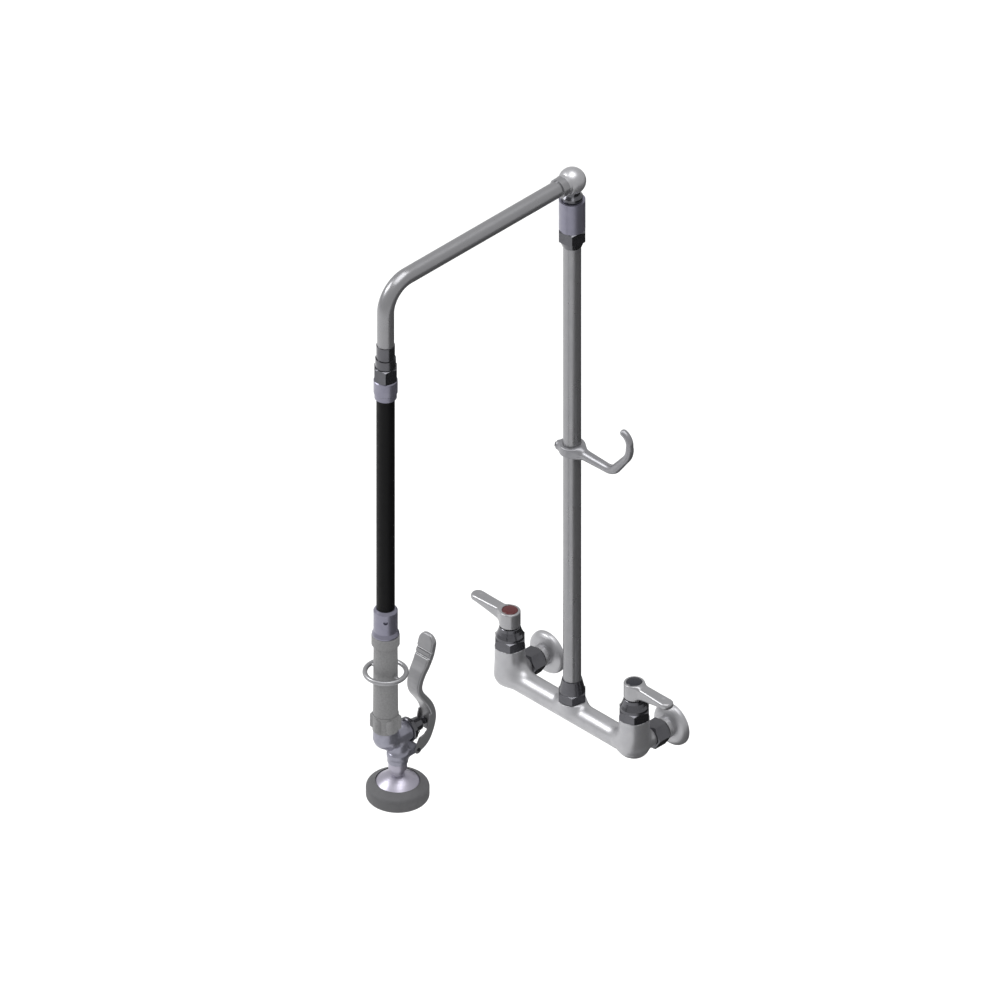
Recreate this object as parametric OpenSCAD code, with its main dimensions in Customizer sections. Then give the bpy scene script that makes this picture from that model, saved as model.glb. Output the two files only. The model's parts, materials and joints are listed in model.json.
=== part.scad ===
// Wall-mounted pre-rinse faucet: two-valve mixing body, riser, swivel arm, hose and squeeze spray valve.
// Frame: origin on the wall plane, midway between the two inlets; +X to the user's right,
// -Y out of the wall towards the user, +Z up. Millimetres.

/* [Mixing body] */
// Distance between the hot and the cold inlet
inlet_spacing = 203.2; // [180:0.1:240]
// Distance from the wall to the axis of the body tube
wall_gap = 63.5; // [58:0.5:80]
// Diameter of the horizontal body tube
barrel_d = 28; // [27:0.5:31]
// Diameter of the upright valve pods
pod_d = 35.8; // [34:0.2:42]
// Height of the pods above the body axis
pod_h = 41; // [39:0.5:46]
// Diameter of the wall flanges
flange_d = 54; // [48:1:64]

/* [Riser and finger hook] */
// Outside diameter of the riser pipe
riser_d = 21.3; // [18:0.1:25]
// Wall of the riser pipe
riser_wall = 2.6; // [2:0.1:3.2]
// Length of the riser pipe
riser_len = 648; // [450:1:800]
// Height of the finger hook above the body axis
hook_z = 371; // [200:1:440]

/* [Swivel arm] */
// Distance from the riser axis to the hose axis
arm_reach = 305; // [230:1:380]
// Outside diameter of the arm tube
arm_d = 20; // [17:0.1:22]
// Wall of the arm tube
arm_wall = 1.7; // [1.2:0.1:2.4]
// Bend radius of the arm, at the middle of the tube
arm_bend_r = 35; // [28:1:60]
// Drop from the arm axis to the lower end of the arm tube
arm_drop = 100; // [70:1:140]

/* [Hose and spray valve] */
// Outside diameter of the hose
hose_d = 21.6; // [18:0.2:24]
// Length of the hand grip
grip_len = 97.5; // [85:0.5:130]
// Diameter of the spray head over its bumper
bumper_d = 74; // [68:1:90]

/* [Handles] */
// Length of a valve handle from its spindle axis
handle_len = 60.5; // [48:0.5:75]

/* [Hidden] */
eps = 0.01;
$fn = 48;

// Fits: threads and pressed pieces, turning pieces, pieces on different bodies that pass each other
thread_gap = 0.05;
turn_gap = 0.1;
pass_gap = 0.3;

// Body axis, pods and inlet shanks
body_y = -wall_gap;
barrel_r = barrel_d / 2;
pod_r = pod_d / 2;
pod_ball_r = pod_r + 1.7;
valve_x = inlet_spacing / 2;
flare_len = 24;
flare_steps = 6;
boss_r = 16.5;
boss_top = 15;
boss_socket = 9;
water_r = 6.5;
passage_r = 5;
passage_z = 7;
chamber_r = 12.2;
seat_r = 6.5;
under_seat = 12;
inlet_offset = -6;
inlet_passage_r = 5.4;
inlet_bore_r = 7.5;
inlet_step = 15;
shank_r = 12;
shank_len = 34;

// Union between the body shank and the inlet flange, measured from the body axis towards the wall
union_washer_h = 1.5;
tail_collar_h = 4.3;
tail_r = 9.8;
union_start = 25;
union_nut_af = 29;
union_nut_lip = 4;
flange_edge = 1.5;
flange_dome = 9;
flange_hub_r = 13.2;
flange_hub_h = 8;
inlet_thread_r = 9.35;
inlet_thread_len = 16;

// Ceramic cartridge, measured up from the seat floor at the body axis
seal_h = 2.6;
disc_h = 3;
disc_gap = 0.05;
disc_r = 9;
housing_r = 11.6;
housing_bore_r = 9.2;
housing_neck_z = 20;
housing_top = 29.9;
window_z = 9;
window_h = 7;
stem_r = 6.4;
stem_head_z = 13;
stem_head_h = 5;
stem_top = 84;
oring_wire_r = 0.82;
handle_screw_r = 2;

// Bonnet and handle, measured up from the pod's top
bonnet_af = 34.2;
bonnet_hex_h = 12.5;
bonnet_dome_h = 15;
bonnet_neck_r = 12.4;
bonnet_bore_r = 7.6;
hub_gap = 1;
hub_r = 12.5;
hub_h = 20.5;
lever_half_w = 8;
lever_root_half_w = 7.4;
lever_tip_t = 7;
cap_r = 9.4;
cap_h = 3.2;
cap_recess = 2.4;
screw_head_r = 4.8;
screw_head_h = 2.6;

// Riser, its adapter, and the lower swivel nut
riser_r = riser_d / 2;
riser_seat_z = 24;
adapter_thread_r = 10.4;
gasket_h = 1;
adapter_af = 31;
adapter_hex_h = 12;
adapter_cone_h = 16.5;
swivel_z = riser_seat_z + riser_len;
swivel_nut_af = 30.8;
swivel_nut_up = 10;
swivel_nut_down = 5;
swivel_cone_h = 9;
spigot_r = 12.4;
spigot_h = 9;

// Swivel sleeve and the stem that turns in it, measured up from the riser's top
sleeve_r = 15.5;
sleeve_h = 41;
sleeve_bore_r = 11.4;
bearing_z = 34;
bearing_h = 11.8;
bearing_r = 12.1;
neck_r = 9.3;
skirt_r = 12.6;
skirt_h = 8;
clip_h = 1.9;
clip_r = 13.3;
oring_band_h = 2.6;
ball_r = 16.4;
ball_above_sleeve = 26;
arm_z = swivel_z + swivel_nut_up + sleeve_h + ball_above_sleeve;

// Arm tube and its fittings
arm_r = arm_d / 2;
arm_socket = neck_r + 0.5;
ball_boss = 15;
arm_collar_h = 9;
arm_collar_wall = 2;
hose_y = body_y - arm_reach;
tube_end_z = arm_z - arm_drop;
adapter_top_z = tube_end_z + 20;
arm_ring_h = [18, 12];
arm_ring_wall = [0.9, 2.1];
hose_spigot_r = 10.5;
hose_spigot_h = 10;
adapter_low_z = adapter_top_z - arm_ring_h[0] - arm_ring_h[1];
hose_nut_af = 26.2;
hose_nut_h = 18;
hose_nut_lip = 2.6;
hose_washer_h = 1.5;
hose_flange_h = 1.8;
hose_flange_r = 10.3;
hose_neck_r = 8.2;
hose_bore_r = 5.5;
ferrule_wall = 3.3;
upper_ferrule_h = 18.7;
ferrule_skirt_h = 6.8;
ferrule_skirt_wall = 2.3;

// Hose route, down from the upper ferrule to the lower one
hose_route = [
    [0, 0, 0], [0, 0, -20], [0, 0, -40], [0, 0, -60], [0, 0, -80], [0, 0, -100],
    [0, 0, -120], [0, 0, -140], [0, 0, -160], [0, 0, -180], [0, 0, -200], [0, 0, -220],
    [0, 0, -240], [0, 0, -260], [0, 0, -280], [0, 0, -298]
];
hose_sides = 12;
hose_r = hose_d / 2;
hose_nut_low_z = adapter_low_z - hose_nut_h;
hose_top_z = hose_nut_low_z - pass_gap - upper_ferrule_h - ferrule_skirt_h;
hose_low_z = hose_top_z + hose_route[len(hose_route) - 1][2];

// Spray valve, measured up from the axis of its valve barrel
valve_top = 19;
valve_core_r = 14.7;
valve_core_end = 7;
elbow_ball_r = 11.4;
elbow_ball_y = 22.4;
elbow_ball_z = 5;
leg_r = 10.6;
leg_bore_r = 5.5;
leg_low_z = -28;
core_r = 11;
core_bore_r = 6;
core_seat = 9;
collar_h = 22.5;
collar_r = 15.4;
collar_lobes = 6;
collar_lobe_r = 5;
collar_lobe_at = 13.6;
collar_turn = 35;
grip_top_r = 14;
grip_low_r = 14.7;
nut_h = 14.3;
nut_r = 16.5;
core_spigot_r = 12.4;
core_spigot_h = 6;
end_washer_h = 2;
stem_flange_r = 12;
stem_flange_h = 2.3;
ferrule_stem_r = 8.1;
lower_ferrule_h = 36.9;
grip_z = valve_top + collar_h;
nut_z = grip_z + grip_len;
ferrule_z = nut_z + nut_h + pass_gap;
valve_z = hose_low_z - ferrule_z - lower_ferrule_h;
dimple_r = 2.7;
dimple_z = 24;
ring_z = grip_z + 57.8;
ring_r = 24;
ring_wire_r = 2.9;
ring_prong_r = 1.9;
ring_prong_depth = 2.4;

// Valve barrel, measured from the hose axis towards the wall
barrel_len = 34;
spray_barrel_r = 12;
valve_bore_r = 8;
seat_y = 8;
seat_h = 4;
seat_hole_r = 5;
bonnet_thread_r = 8.9;
bonnet_thread_y = 25;
spray_bonnet_y = 54;
bonnet_ring_r = 14.8;
bonnet_ring_h = 6;
rod_r = 3.6;
rod_end_y = 64.3;
rod_cap_r = 4.6;
rod_cap_h = 3.6;
poppet_r = 6.4;
poppet_y = 4.5;
spring_pocket_y = -9.5;
spring_pocket_r = 4.8;
spring_r = 3.7;
spring_wire_r = 0.5;
spring_turns = 6;

// Outlet, spray head and lever pivot
outlet_y = 19.8;
outlet_r = 12.2;
outlet_low = -37;
outlet_spigot_r = 9;
outlet_spigot_h = 8;
head_collar_r = 11;
head_collar_h = 9;
head_neck_r = 8;
head_rim_r = bumper_d / 2 - 6;
head_rim_low = -81;
head_rim_top = -69;
dome_top = -54;
dome_wall = 3;
bumper_low = -86.5;
bumper_lip = 2.6;
bumper_edge = 4;
face_h = 2.5;
face_hole_r = 0.9;
face_rings = [[8, 8], [13.5, 14], [19, 20], [24.5, 26]];
post_r = 4.6;
pivot_y = 44;
pivot_z = -28;
pivot_r = 2;
lug_half_w = 7.8;
lug_r = 5;

// Middle line of the squeeze lever: y, z and thickness, from the pivot to the tip
lever_line = [
    [44, -28, 9], [52, -26.8, 8], [60, -21, 8], [66, -10, 8.2], [69.2, 1, 8.4], [69, 12, 8.4],
    [64.5, 24.5, 8.4], [57, 36, 8.2], [50, 46.5, 7.8], [47.6, 57, 7.8], [51, 70, 8], [59, 83, 8],
    [65, 96, 8], [68.5, 109, 7.4], [70, 120, 6]
];
lever_grooves = [[62.8, 99.5], [60.2, 92.5]];
lever_groove_r = 1.5;

// Cheeks of the lever's fork, seen from the side
cheek_line = [
    [39.5, -26], [42, -20], [46, -13], [54, -11.5], [58.5, -8], [60.3, 1], [63, 12], [69, 12], [69, 0],
    [66, -11], [60, -22], [52, -29]
];
squeeze_low_w = 10;
squeeze_neck_w = 9.8;
squeeze_pad_w = 12;
squeeze_pad_z = 96;
squeeze_round_z = 108;
fork_top = -10;
curve_steps = 4;

// Finger hook from the riser axis to its tip: length or bend radius, bend angle (0 where it is
// straight), and the rod's radius at the start and the end
hook_runs = [
    [57, 0, 7.2, 5.6], [20, 52, 5.7, 5.7], [26, 0, 5.6, 4.7], [26, 38, 4.8, 4.8],
    [6, 0, 4.7, 4.3], [13, 75, 4.4, 4.4]
];
hook_lap = 0.5;
hook_collar_r = 15.3;
hook_collar_h = 12;
hook_boss_turn = 205;
hook_boss_r = 6.8;
hook_boss_end = 19;
hook_screw_r = 3;
hook_screw_end = 20.5;

// Colours
chrome = "silver";
steel = "gray";
rubber = "dimgray";
dark = "black";
brass = "darkgoldenrod";
ceramic = "white";

// ---- Shared shapes ----

module ring(r_out, r_in, h)
    difference() {
        cylinder(r = r_out, h = h);
        translate([0, 0, -eps]) cylinder(r = r_in, h = h + 2 * eps);
    }

// Turns +Z into +Y, and +Z into +X
module along_y() rotate([-90, 0, 0]) children();
module along_x() rotate([0, 90, 0]) children();

module torus(r_mid, r_wire) rotate_extrude() translate([r_mid, 0]) circle(r = r_wire, $fn = 24);

// Hexagon nut with its corners turned off at both ends
module hex_nut(af, h, turn = 15)
    intersection() {
        rotate([0, 0, turn]) cylinder(d = af / cos(30), h = h, $fn = 6);
        rotate_extrude() polygon([
            [0, 0], [af / 2, 0], [af / 2 / cos(30) + 0.1, 1.4],
            [af / 2 / cos(30) + 0.1, h - 1.4], [af / 2, h], [0, h]
        ]);
    }

// Smooth curve through the middle points of a list, n steps to each span
function curve_point(p, i, t) =
    let (a = p[max(i - 1, 0)], b = p[i], c = p[i + 1], d = p[min(i + 2, len(p) - 1)])
    0.5 * (2 * b + (c - a) * t + (2 * a - 5 * b + 4 * c - d) * t * t
        + (3 * b - a - 3 * c + d) * t * t * t);
function smooth(p, n) = [
    for (i = [0 : len(p) - 2]) for (k = [0 : n - 1]) curve_point(p, i, k / n),
    p[len(p) - 1]
];
function unit(v) = v / norm(v);
function tangent(p, i) = unit(p[min(i + 1, len(p) - 1)] - p[max(i - 1, 0)]);

// Round bar swept along a path; radii has one value for each point, and side lies across the path
module swept_bar(path, radii, side, sides) {
    n = len(path);
    points = [
        for (i = [0 : n - 1])
            let (t = tangent(path, i), u = unit(side - (side * t) * t), v = cross(t, u))
            for (k = [0 : sides - 1])
                path[i] + radii[i] * (cos(360 * k / sides) * u + sin(360 * k / sides) * v)
    ];
    walls = [
        for (i = [0 : n - 2]) for (k = [0 : sides - 1])
            let (m = (k + 1) % sides)
            [i * sides + k, (i + 1) * sides + k, (i + 1) * sides + m, i * sides + m]
    ];
    first = [for (k = [0 : sides - 1]) k];
    last = [for (k = [sides - 1 : -1 : 0]) (n - 1) * sides + k];
    polyhedron(points = points, faces = concat([first], walls, [last]), convexity = 6);
}

// ---- Places ----

module at_valve(side) translate([side * valve_x, body_y, 0]) children();
module at_riser() translate([0, body_y, 0]) children();
module at_hose() translate([0, hose_y, 0]) children();
module at_spray() translate([0, hose_y, valve_z]) children();
module at_head() translate([0, hose_y + outlet_y, valve_z]) children();

// ---- Mixing body and inlets ----

// Half-length profile of the body tube, flaring into the pods
function flare(t) = barrel_r + (pod_r - 0.6 - barrel_r) * (1 - cos(90 * t));

module barrel_shape() {
    flare_start = valve_x - pod_r - flare_len;
    half = [for (i = [0 : flare_steps])
        [flare(i / flare_steps), flare_start + (flare_len + pod_r / 2) * i / flare_steps]];
    mirrored = [for (i = [flare_steps : -1 : 0]) [half[i][0], -half[i][1]]];
    along_x() rotate_extrude() polygon(concat(
        [[0, -half[flare_steps][1]]], mirrored, half, [[0, half[flare_steps][1]]]));
}

module body_waterways() {
    at_riser() {
        cross_len = inlet_spacing - 2 * chamber_r + 3;
        translate([0, 0, passage_z]) along_x() cylinder(r = passage_r, h = cross_len, center = true);
        translate([0, 0, passage_z]) cylinder(r = water_r, h = boss_top);
        translate([0, 0, boss_top - boss_socket])
            cylinder(r = adapter_thread_r + thread_gap, h = boss_socket + eps);
    }
    for (side = [-1, 1]) at_valve(side) {
        cylinder(r = chamber_r, h = pod_h + eps);
        translate([0, 0, -under_seat]) cylinder(r = seat_r, h = under_seat + eps);
        translate([0, 0, inlet_offset]) along_y() cylinder(r = inlet_passage_r, h = inlet_step + eps);
        translate([0, inlet_step, 0]) along_y() cylinder(r = inlet_bore_r, h = shank_len);
    }
}

module mixing_body() color(chrome) difference() {
    union() {
        at_riser() {
            barrel_shape();
            cylinder(r1 = boss_r + 3, r2 = boss_r, h = boss_top - 3);
            cylinder(r = boss_r, h = boss_top);
        }
        for (side = [-1, 1]) at_valve(side) {
            sphere(r = pod_ball_r);
            cylinder(r = pod_r, h = pod_h);
            along_y() cylinder(r = shank_r, h = shank_len);
        }
    }
    body_waterways();
}

tail_y = shank_len + union_washer_h;
flange_start = wall_gap - flange_edge - flange_dome;

// Flange front, from its hub out to its edge: a flat dome
function flange_point(t) = [
    flange_hub_r + (flange_d / 2 - flange_hub_r) * sin(90 * t),
    flange_start + flange_dome * (1 - cos(90 * t))
];

module inlet_flange(side) color(chrome) at_valve(side) difference() {
    along_y() rotate_extrude() polygon(concat(
        [
            [0, tail_y], [shank_r - 0.3, tail_y], [shank_r - 0.3, tail_y + tail_collar_h],
            [tail_r, tail_y + tail_collar_h], [tail_r, flange_start - flange_hub_h],
            [flange_hub_r, flange_start - flange_hub_h + 1.5]
        ],
        [for (k = [0 : 8]) flange_point(k / 8)],
        [[flange_d / 2, wall_gap], [0, wall_gap]]
    ));
    translate([0, tail_y - eps, 0]) along_y() cylinder(r = inlet_bore_r, h = wall_gap);
    translate([0, wall_gap - inlet_thread_len, 0]) along_y()
        cylinder(r = inlet_thread_r, h = inlet_thread_len + eps);
}

module union_nuts() color(steel) for (side = [-1, 1]) at_valve(side) {
    nut_len = tail_y + tail_collar_h + union_nut_lip - union_start;
    translate([0, union_start, 0]) along_y() difference() {
        hex_nut(union_nut_af, nut_len, 0);
        translate([0, 0, -eps]) cylinder(r = shank_r + thread_gap, h = nut_len - union_nut_lip + eps);
        cylinder(r = tail_r + turn_gap, h = nut_len + eps);
    }
}

module union_washers() color(rubber) for (side = [-1, 1]) at_valve(side)
    translate([0, shank_len, 0]) along_y() ring(shank_r - 0.4, inlet_bore_r, union_washer_h);

// ---- Valve cartridges, bonnets and handles ----

module cartridge(side) color(brass) at_valve(side) difference() {
    translate([0, 0, seal_h]) cylinder(r = housing_r, h = housing_top - seal_h);
    translate([0, 0, seal_h - eps]) cylinder(r = housing_bore_r, h = housing_neck_z - seal_h);
    cylinder(r = stem_r + turn_gap, h = housing_top + eps);
    for (turn = [45, 135]) rotate([0, 0, turn])
        translate([-housing_r - 1, -3.5, window_z]) cube([2 * housing_r + 2, 7, window_h]);
}

// Disc with two opposite water ports
module ported_disc(r, h) difference() {
    cylinder(r = r, h = h);
    for (turn = [0, 180]) rotate([0, 0, turn]) translate([4.8, 0, -eps])
        cylinder(r = 2.6, h = h + 2 * eps);
}

module fixed_discs() color(ceramic) for (side = [-1, 1]) at_valve(side)
    translate([0, 0, seal_h]) ported_disc(disc_r + turn_gap, disc_h);

module seat_seals() color(dark) for (side = [-1, 1]) at_valve(side)
    ring(disc_r, seat_r, seal_h);

module bonnet(side) color(steel) at_valve(side) difference() {
    union() {
        translate([0, 0, housing_top])
            cylinder(r = chamber_r - thread_gap, h = pod_h - housing_top + eps);
        translate([0, 0, pod_h]) hex_nut(bonnet_af, bonnet_hex_h, 15);
        translate([0, 0, pod_h + bonnet_hex_h]) rotate_extrude() polygon([
            [0, 0], [bonnet_af / 2, 0], [bonnet_af / 2 - 0.6, 3], [14.8, 6.5],
            [bonnet_neck_r + 0.8, bonnet_dome_h - 4], [bonnet_neck_r, bonnet_dome_h - 0.6],
            [bonnet_neck_r - 0.6, bonnet_dome_h], [0, bonnet_dome_h]
        ]);
    }
    cylinder(r = bonnet_bore_r, h = pod_h + bonnet_hex_h + bonnet_dome_h + eps);
}

stem_disc_z = seal_h + disc_h + disc_gap;
hub_z = pod_h + bonnet_hex_h + bonnet_dome_h + hub_gap;
hub_top = hub_z + hub_h;
oring_z = [22.5, 26.5];
oring_groove_r = stem_r + turn_gap - 0.05 - 2 * oring_wire_r;

module stem(side) color(brass) at_valve(side) difference() {
    union() {
        translate([0, 0, stem_head_z]) cylinder(r = disc_r, h = stem_head_h);
        translate([0, 0, stem_head_z]) cylinder(r = stem_r, h = hub_z - stem_head_z - 1);
        translate([0, 0, hub_z - 1 - eps])
            cylinder(r = stem_r - 1.4, h = hub_z_screw() - hub_z + 1);
        intersection() {
            translate([0, 0, stem_disc_z + disc_h])
                cylinder(r = disc_r, h = stem_head_z - stem_disc_z - disc_h + eps);
            for (end = [-1, 1]) translate([-2.5, end * 7 - 2, stem_disc_z])
                cube([5, 4, stem_head_z - stem_disc_z]);
        }
    }
    for (z = oring_z) translate([0, 0, z - oring_band_h / 2]) ring(disc_r + 1, oring_groove_r, oring_band_h);
    translate([0, 0, hub_z_screw() - 14]) cylinder(r = handle_screw_r + thread_gap, h = 15);
}

// Height at which the handle screw's head sits
function hub_z_screw() = hub_top - cap_recess - screw_head_h - 0.6;

module stem_disc(side) color(ceramic) at_valve(side)
    translate([0, 0, stem_disc_z]) rotate([0, 0, 90]) ported_disc(disc_r, disc_h);

module stem_orings(side) color(dark) at_valve(side)
    for (z = oring_z) translate([0, 0, z]) torus(oring_groove_r + oring_wire_r, oring_wire_r);

// Handle pointing along +X: a round hub and a lever that thins towards its round tip
module handle_shape() {
    tip_x = handle_len - lever_half_w;
    difference() {
        union() {
            translate([0, 0, hub_z]) cylinder(r = hub_r, h = hub_h);
            intersection() {
                translate([0, lever_half_w + 2, 0]) rotate([90, 0, 0])
                    linear_extrude(2 * lever_half_w + 4) polygon([
                        [0, hub_z], [hub_r - 1, hub_z], [tip_x, hub_top - 1 - lever_tip_t],
                        [handle_len - 2, hub_top - 1 - lever_tip_t + 0.6],
                        [handle_len + 1, hub_top - 4], [handle_len - 2, hub_top - 1.6],
                        [tip_x, hub_top - 1], [hub_r + 6, hub_top], [0, hub_top]
                    ]);
                translate([0, 0, hub_z]) linear_extrude(hub_h + 1) union() {
                    polygon([
                        [0, -hub_r + 1], [hub_r, -lever_root_half_w], [tip_x, -lever_half_w],
                        [tip_x, lever_half_w], [hub_r, lever_root_half_w], [0, hub_r - 1]
                    ]);
                    translate([tip_x, 0]) circle(r = lever_half_w);
                }
            }
        }
        translate([0, 0, hub_z - eps]) cylinder(r = stem_r - 1.4 + thread_gap, h = hub_h);
        translate([0, 0, hub_z_screw()]) cylinder(r = screw_head_r + 0.2, h = hub_h);
        translate([0, 0, hub_top - cap_recess]) cylinder(r = cap_r + thread_gap, h = hub_h);
    }
}

module handle(side) color(chrome) at_valve(side) mirror([side < 0 ? 1 : 0, 0, 0]) handle_shape();

module index_cap(side, paint) color(paint) at_valve(side)
    translate([0, 0, hub_top - cap_recess]) rotate_extrude() polygon([
        [0, 0], [cap_r, 0], [cap_r, cap_h - 0.8], [cap_r - 0.8, cap_h - 0.2],
        [cap_r / 2, cap_h + 0.2], [0, cap_h + 0.3]
    ]);

module handle_screw(side) color(steel) at_valve(side) translate([0, 0, hub_z_screw()]) difference() {
    union() {
        cylinder(r = screw_head_r, h = screw_head_h);
        translate([0, 0, -13]) cylinder(r = handle_screw_r, h = 13 + eps);
    }
    translate([-screw_head_r - 1, -0.6, screw_head_h - 1]) cube([2 * screw_head_r + 2, 1.2, 2]);
}

// ---- Riser and swivel ----

module riser_adapter() color(steel) at_riser() {
    hex_z = boss_top + gasket_h;
    difference() {
        union() {
            translate([0, 0, boss_top - boss_socket + 0.5])
                cylinder(r = adapter_thread_r, h = boss_socket + gasket_h);
            translate([0, 0, hex_z]) hex_nut(adapter_af, adapter_hex_h, 15);
            translate([0, 0, hex_z + adapter_hex_h - 1])
                cylinder(r1 = adapter_af / 2, r2 = riser_r + 1.1, h = adapter_cone_h + 1);
        }
        cylinder(r = water_r, h = hex_z + adapter_hex_h);
        translate([0, 0, riser_seat_z])
            cylinder(r = riser_r + thread_gap, h = adapter_hex_h + adapter_cone_h);
    }
}

module riser_gasket() color(dark) at_riser()
    translate([0, 0, boss_top]) ring(adapter_af / 2 - 0.5, adapter_thread_r + turn_gap, gasket_h);

module riser() color(chrome) at_riser()
    translate([0, 0, riser_seat_z]) ring(riser_r, riser_r - riser_wall, riser_len);

module swivel_nut() color(steel) at_riser() translate([0, 0, swivel_z]) difference() {
    union() {
        translate([0, 0, -swivel_nut_down]) hex_nut(swivel_nut_af, swivel_nut_down + swivel_nut_up, 15);
        translate([0, 0, -swivel_nut_down - swivel_cone_h])
            cylinder(r1 = riser_r + 1, r2 = swivel_nut_af / 2, h = swivel_cone_h + 1);
        cylinder(r = spigot_r, h = swivel_nut_up + spigot_h);
    }
    translate([0, 0, -swivel_nut_down - swivel_cone_h - eps])
        cylinder(r = riser_r + thread_gap, h = swivel_nut_down + swivel_cone_h + eps);
    cylinder(r = water_r, h = swivel_nut_up + spigot_h + eps);
}

sleeve_low = swivel_z + swivel_nut_up;
stem_low = sleeve_low + spigot_h + turn_gap;
shoulder_z = swivel_z + bearing_z;
clip_z = shoulder_z + bearing_h + turn_gap;

module swivel_sleeve() color(chrome) at_riser() difference() {
    translate([0, 0, sleeve_low]) cylinder(r = sleeve_r, h = sleeve_h);
    translate([0, 0, sleeve_low - eps]) cylinder(r = spigot_r + thread_gap, h = spigot_h + eps);
    translate([0, 0, sleeve_low]) cylinder(r = sleeve_bore_r, h = sleeve_h + eps);
    translate([0, 0, shoulder_z]) cylinder(r = bearing_r + thread_gap, h = sleeve_h);
    translate([0, 0, clip_z - turn_gap]) cylinder(r = clip_r + turn_gap, h = clip_h + 2 * turn_gap);
}

module swivel_bearing() color("ivory") at_riser()
    translate([0, 0, shoulder_z]) ring(bearing_r, neck_r + turn_gap, bearing_h);

// Split spring ring in the sleeve's groove
module swivel_clip() color(steel) at_riser() translate([0, 0, clip_z]) difference() {
    ring(clip_r, neck_r + 0.5, clip_h);
    translate([0, -2, -eps]) cube([clip_r + 1, 4, clip_h + 2 * eps]);
}

swivel_oring_z = [stem_low + 5, stem_low + 11];
swivel_oring_wire = 0.95;
swivel_groove_r = sleeve_bore_r - 0.1 - 2 * swivel_oring_wire;

module swivel_stem() color(brass) at_riser() difference() {
    union() {
        translate([0, 0, stem_low])
            cylinder(r = sleeve_bore_r - turn_gap, h = shoulder_z - pass_gap - stem_low);
        translate([0, 0, stem_low]) cylinder(r = neck_r, h = arm_z - stem_low - 8);
        translate([0, 0, sleeve_low + sleeve_h + pass_gap]) rotate_extrude() polygon([
            [0, 0], [skirt_r - 0.6, 0], [skirt_r, 0.6], [skirt_r, skirt_h - 3], [neck_r, skirt_h], [0, skirt_h]
        ]);
    }
    translate([0, 0, stem_low - eps]) cylinder(r = water_r, h = arm_z - stem_low);
    for (z = swivel_oring_z) translate([0, 0, z - oring_band_h / 2])
        ring(sleeve_bore_r + 1, swivel_groove_r, oring_band_h);
}

module swivel_orings() color(dark) at_riser()
    for (z = swivel_oring_z) translate([0, 0, z])
        torus(swivel_groove_r + swivel_oring_wire, swivel_oring_wire);

// ---- Arm ----

module ball_elbow() color(chrome) at_riser() translate([0, 0, arm_z]) difference() {
    union() {
        sphere(r = ball_r);
        rotate([90, 0, 0]) cylinder(r = arm_r + arm_collar_wall + 0.4, h = ball_boss);
    }
    translate([0, 0, -ball_r - 5]) cylinder(r = neck_r + thread_gap, h = ball_r + 5 - 8);
    translate([0, 0, -ball_r]) cylinder(r = water_r, h = ball_r);
    sphere(r = water_r);
    rotate([90, 0, 0]) cylinder(r = water_r, h = ball_r);
    translate([0, -arm_socket, 0]) rotate([90, 0, 0]) cylinder(r = arm_r + thread_gap, h = ball_r);
}

module arm_collar() color(chrome) at_riser() translate([0, -ball_boss, arm_z])
    rotate([90, 0, 0]) ring(arm_r + arm_collar_wall, arm_r + thread_gap, arm_collar_h);

// The path of the arm tube, filled to a radius; extra lengthens both of its ends
module arm_bar(r, extra) {
    run = arm_reach - arm_bend_r - arm_socket;
    translate([0, body_y - arm_socket + extra, arm_z]) rotate([90, 0, 0])
        cylinder(r = r, h = run + extra);
    translate([0, hose_y + arm_bend_r, arm_z - arm_bend_r]) rotate([0, -90, 0]) rotate([0, 0, -90])
        rotate_extrude(angle = 90) translate([arm_bend_r, 0]) circle(r = r);
    translate([0, hose_y, tube_end_z - extra])
        cylinder(r = r, h = arm_z - arm_bend_r - tube_end_z + extra);
}

module arm_tube() color(chrome) difference() {
    arm_bar(arm_r, 0);
    arm_bar(arm_r - arm_wall, 0.5);
}

module arm_end_adapter() color(chrome) at_hose() difference() {
    union() {
        translate([0, 0, adapter_top_z - arm_ring_h[0]])
            cylinder(r = arm_r + arm_ring_wall[0], h = arm_ring_h[0]);
        translate([0, 0, adapter_low_z]) cylinder(r = arm_r + arm_ring_wall[1], h = arm_ring_h[1]);
        translate([0, 0, adapter_low_z - hose_spigot_h]) cylinder(r = hose_spigot_r, h = hose_spigot_h + eps);
    }
    translate([0, 0, adapter_low_z - hose_spigot_h - eps]) cylinder(r = water_r, h = adapter_top_z);
    translate([0, 0, tube_end_z]) cylinder(r = arm_r + thread_gap, h = adapter_top_z - tube_end_z + 1);
}

// ---- Hose and its ferrules ----

washer_low = adapter_low_z - hose_spigot_h - hose_washer_h;

module hose_nut() color(steel) at_hose() translate([0, 0, hose_nut_low_z]) difference() {
    hex_nut(hose_nut_af, hose_nut_h, 15);
    translate([0, 0, -eps]) cylinder(r = hose_neck_r + turn_gap, h = hose_nut_h);
    translate([0, 0, hose_nut_lip]) cylinder(r = hose_spigot_r + thread_gap, h = hose_nut_h);
}

module hose_washer() color(dark) at_hose()
    translate([0, 0, washer_low]) ring(hose_flange_r, water_r, hose_washer_h);

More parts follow.
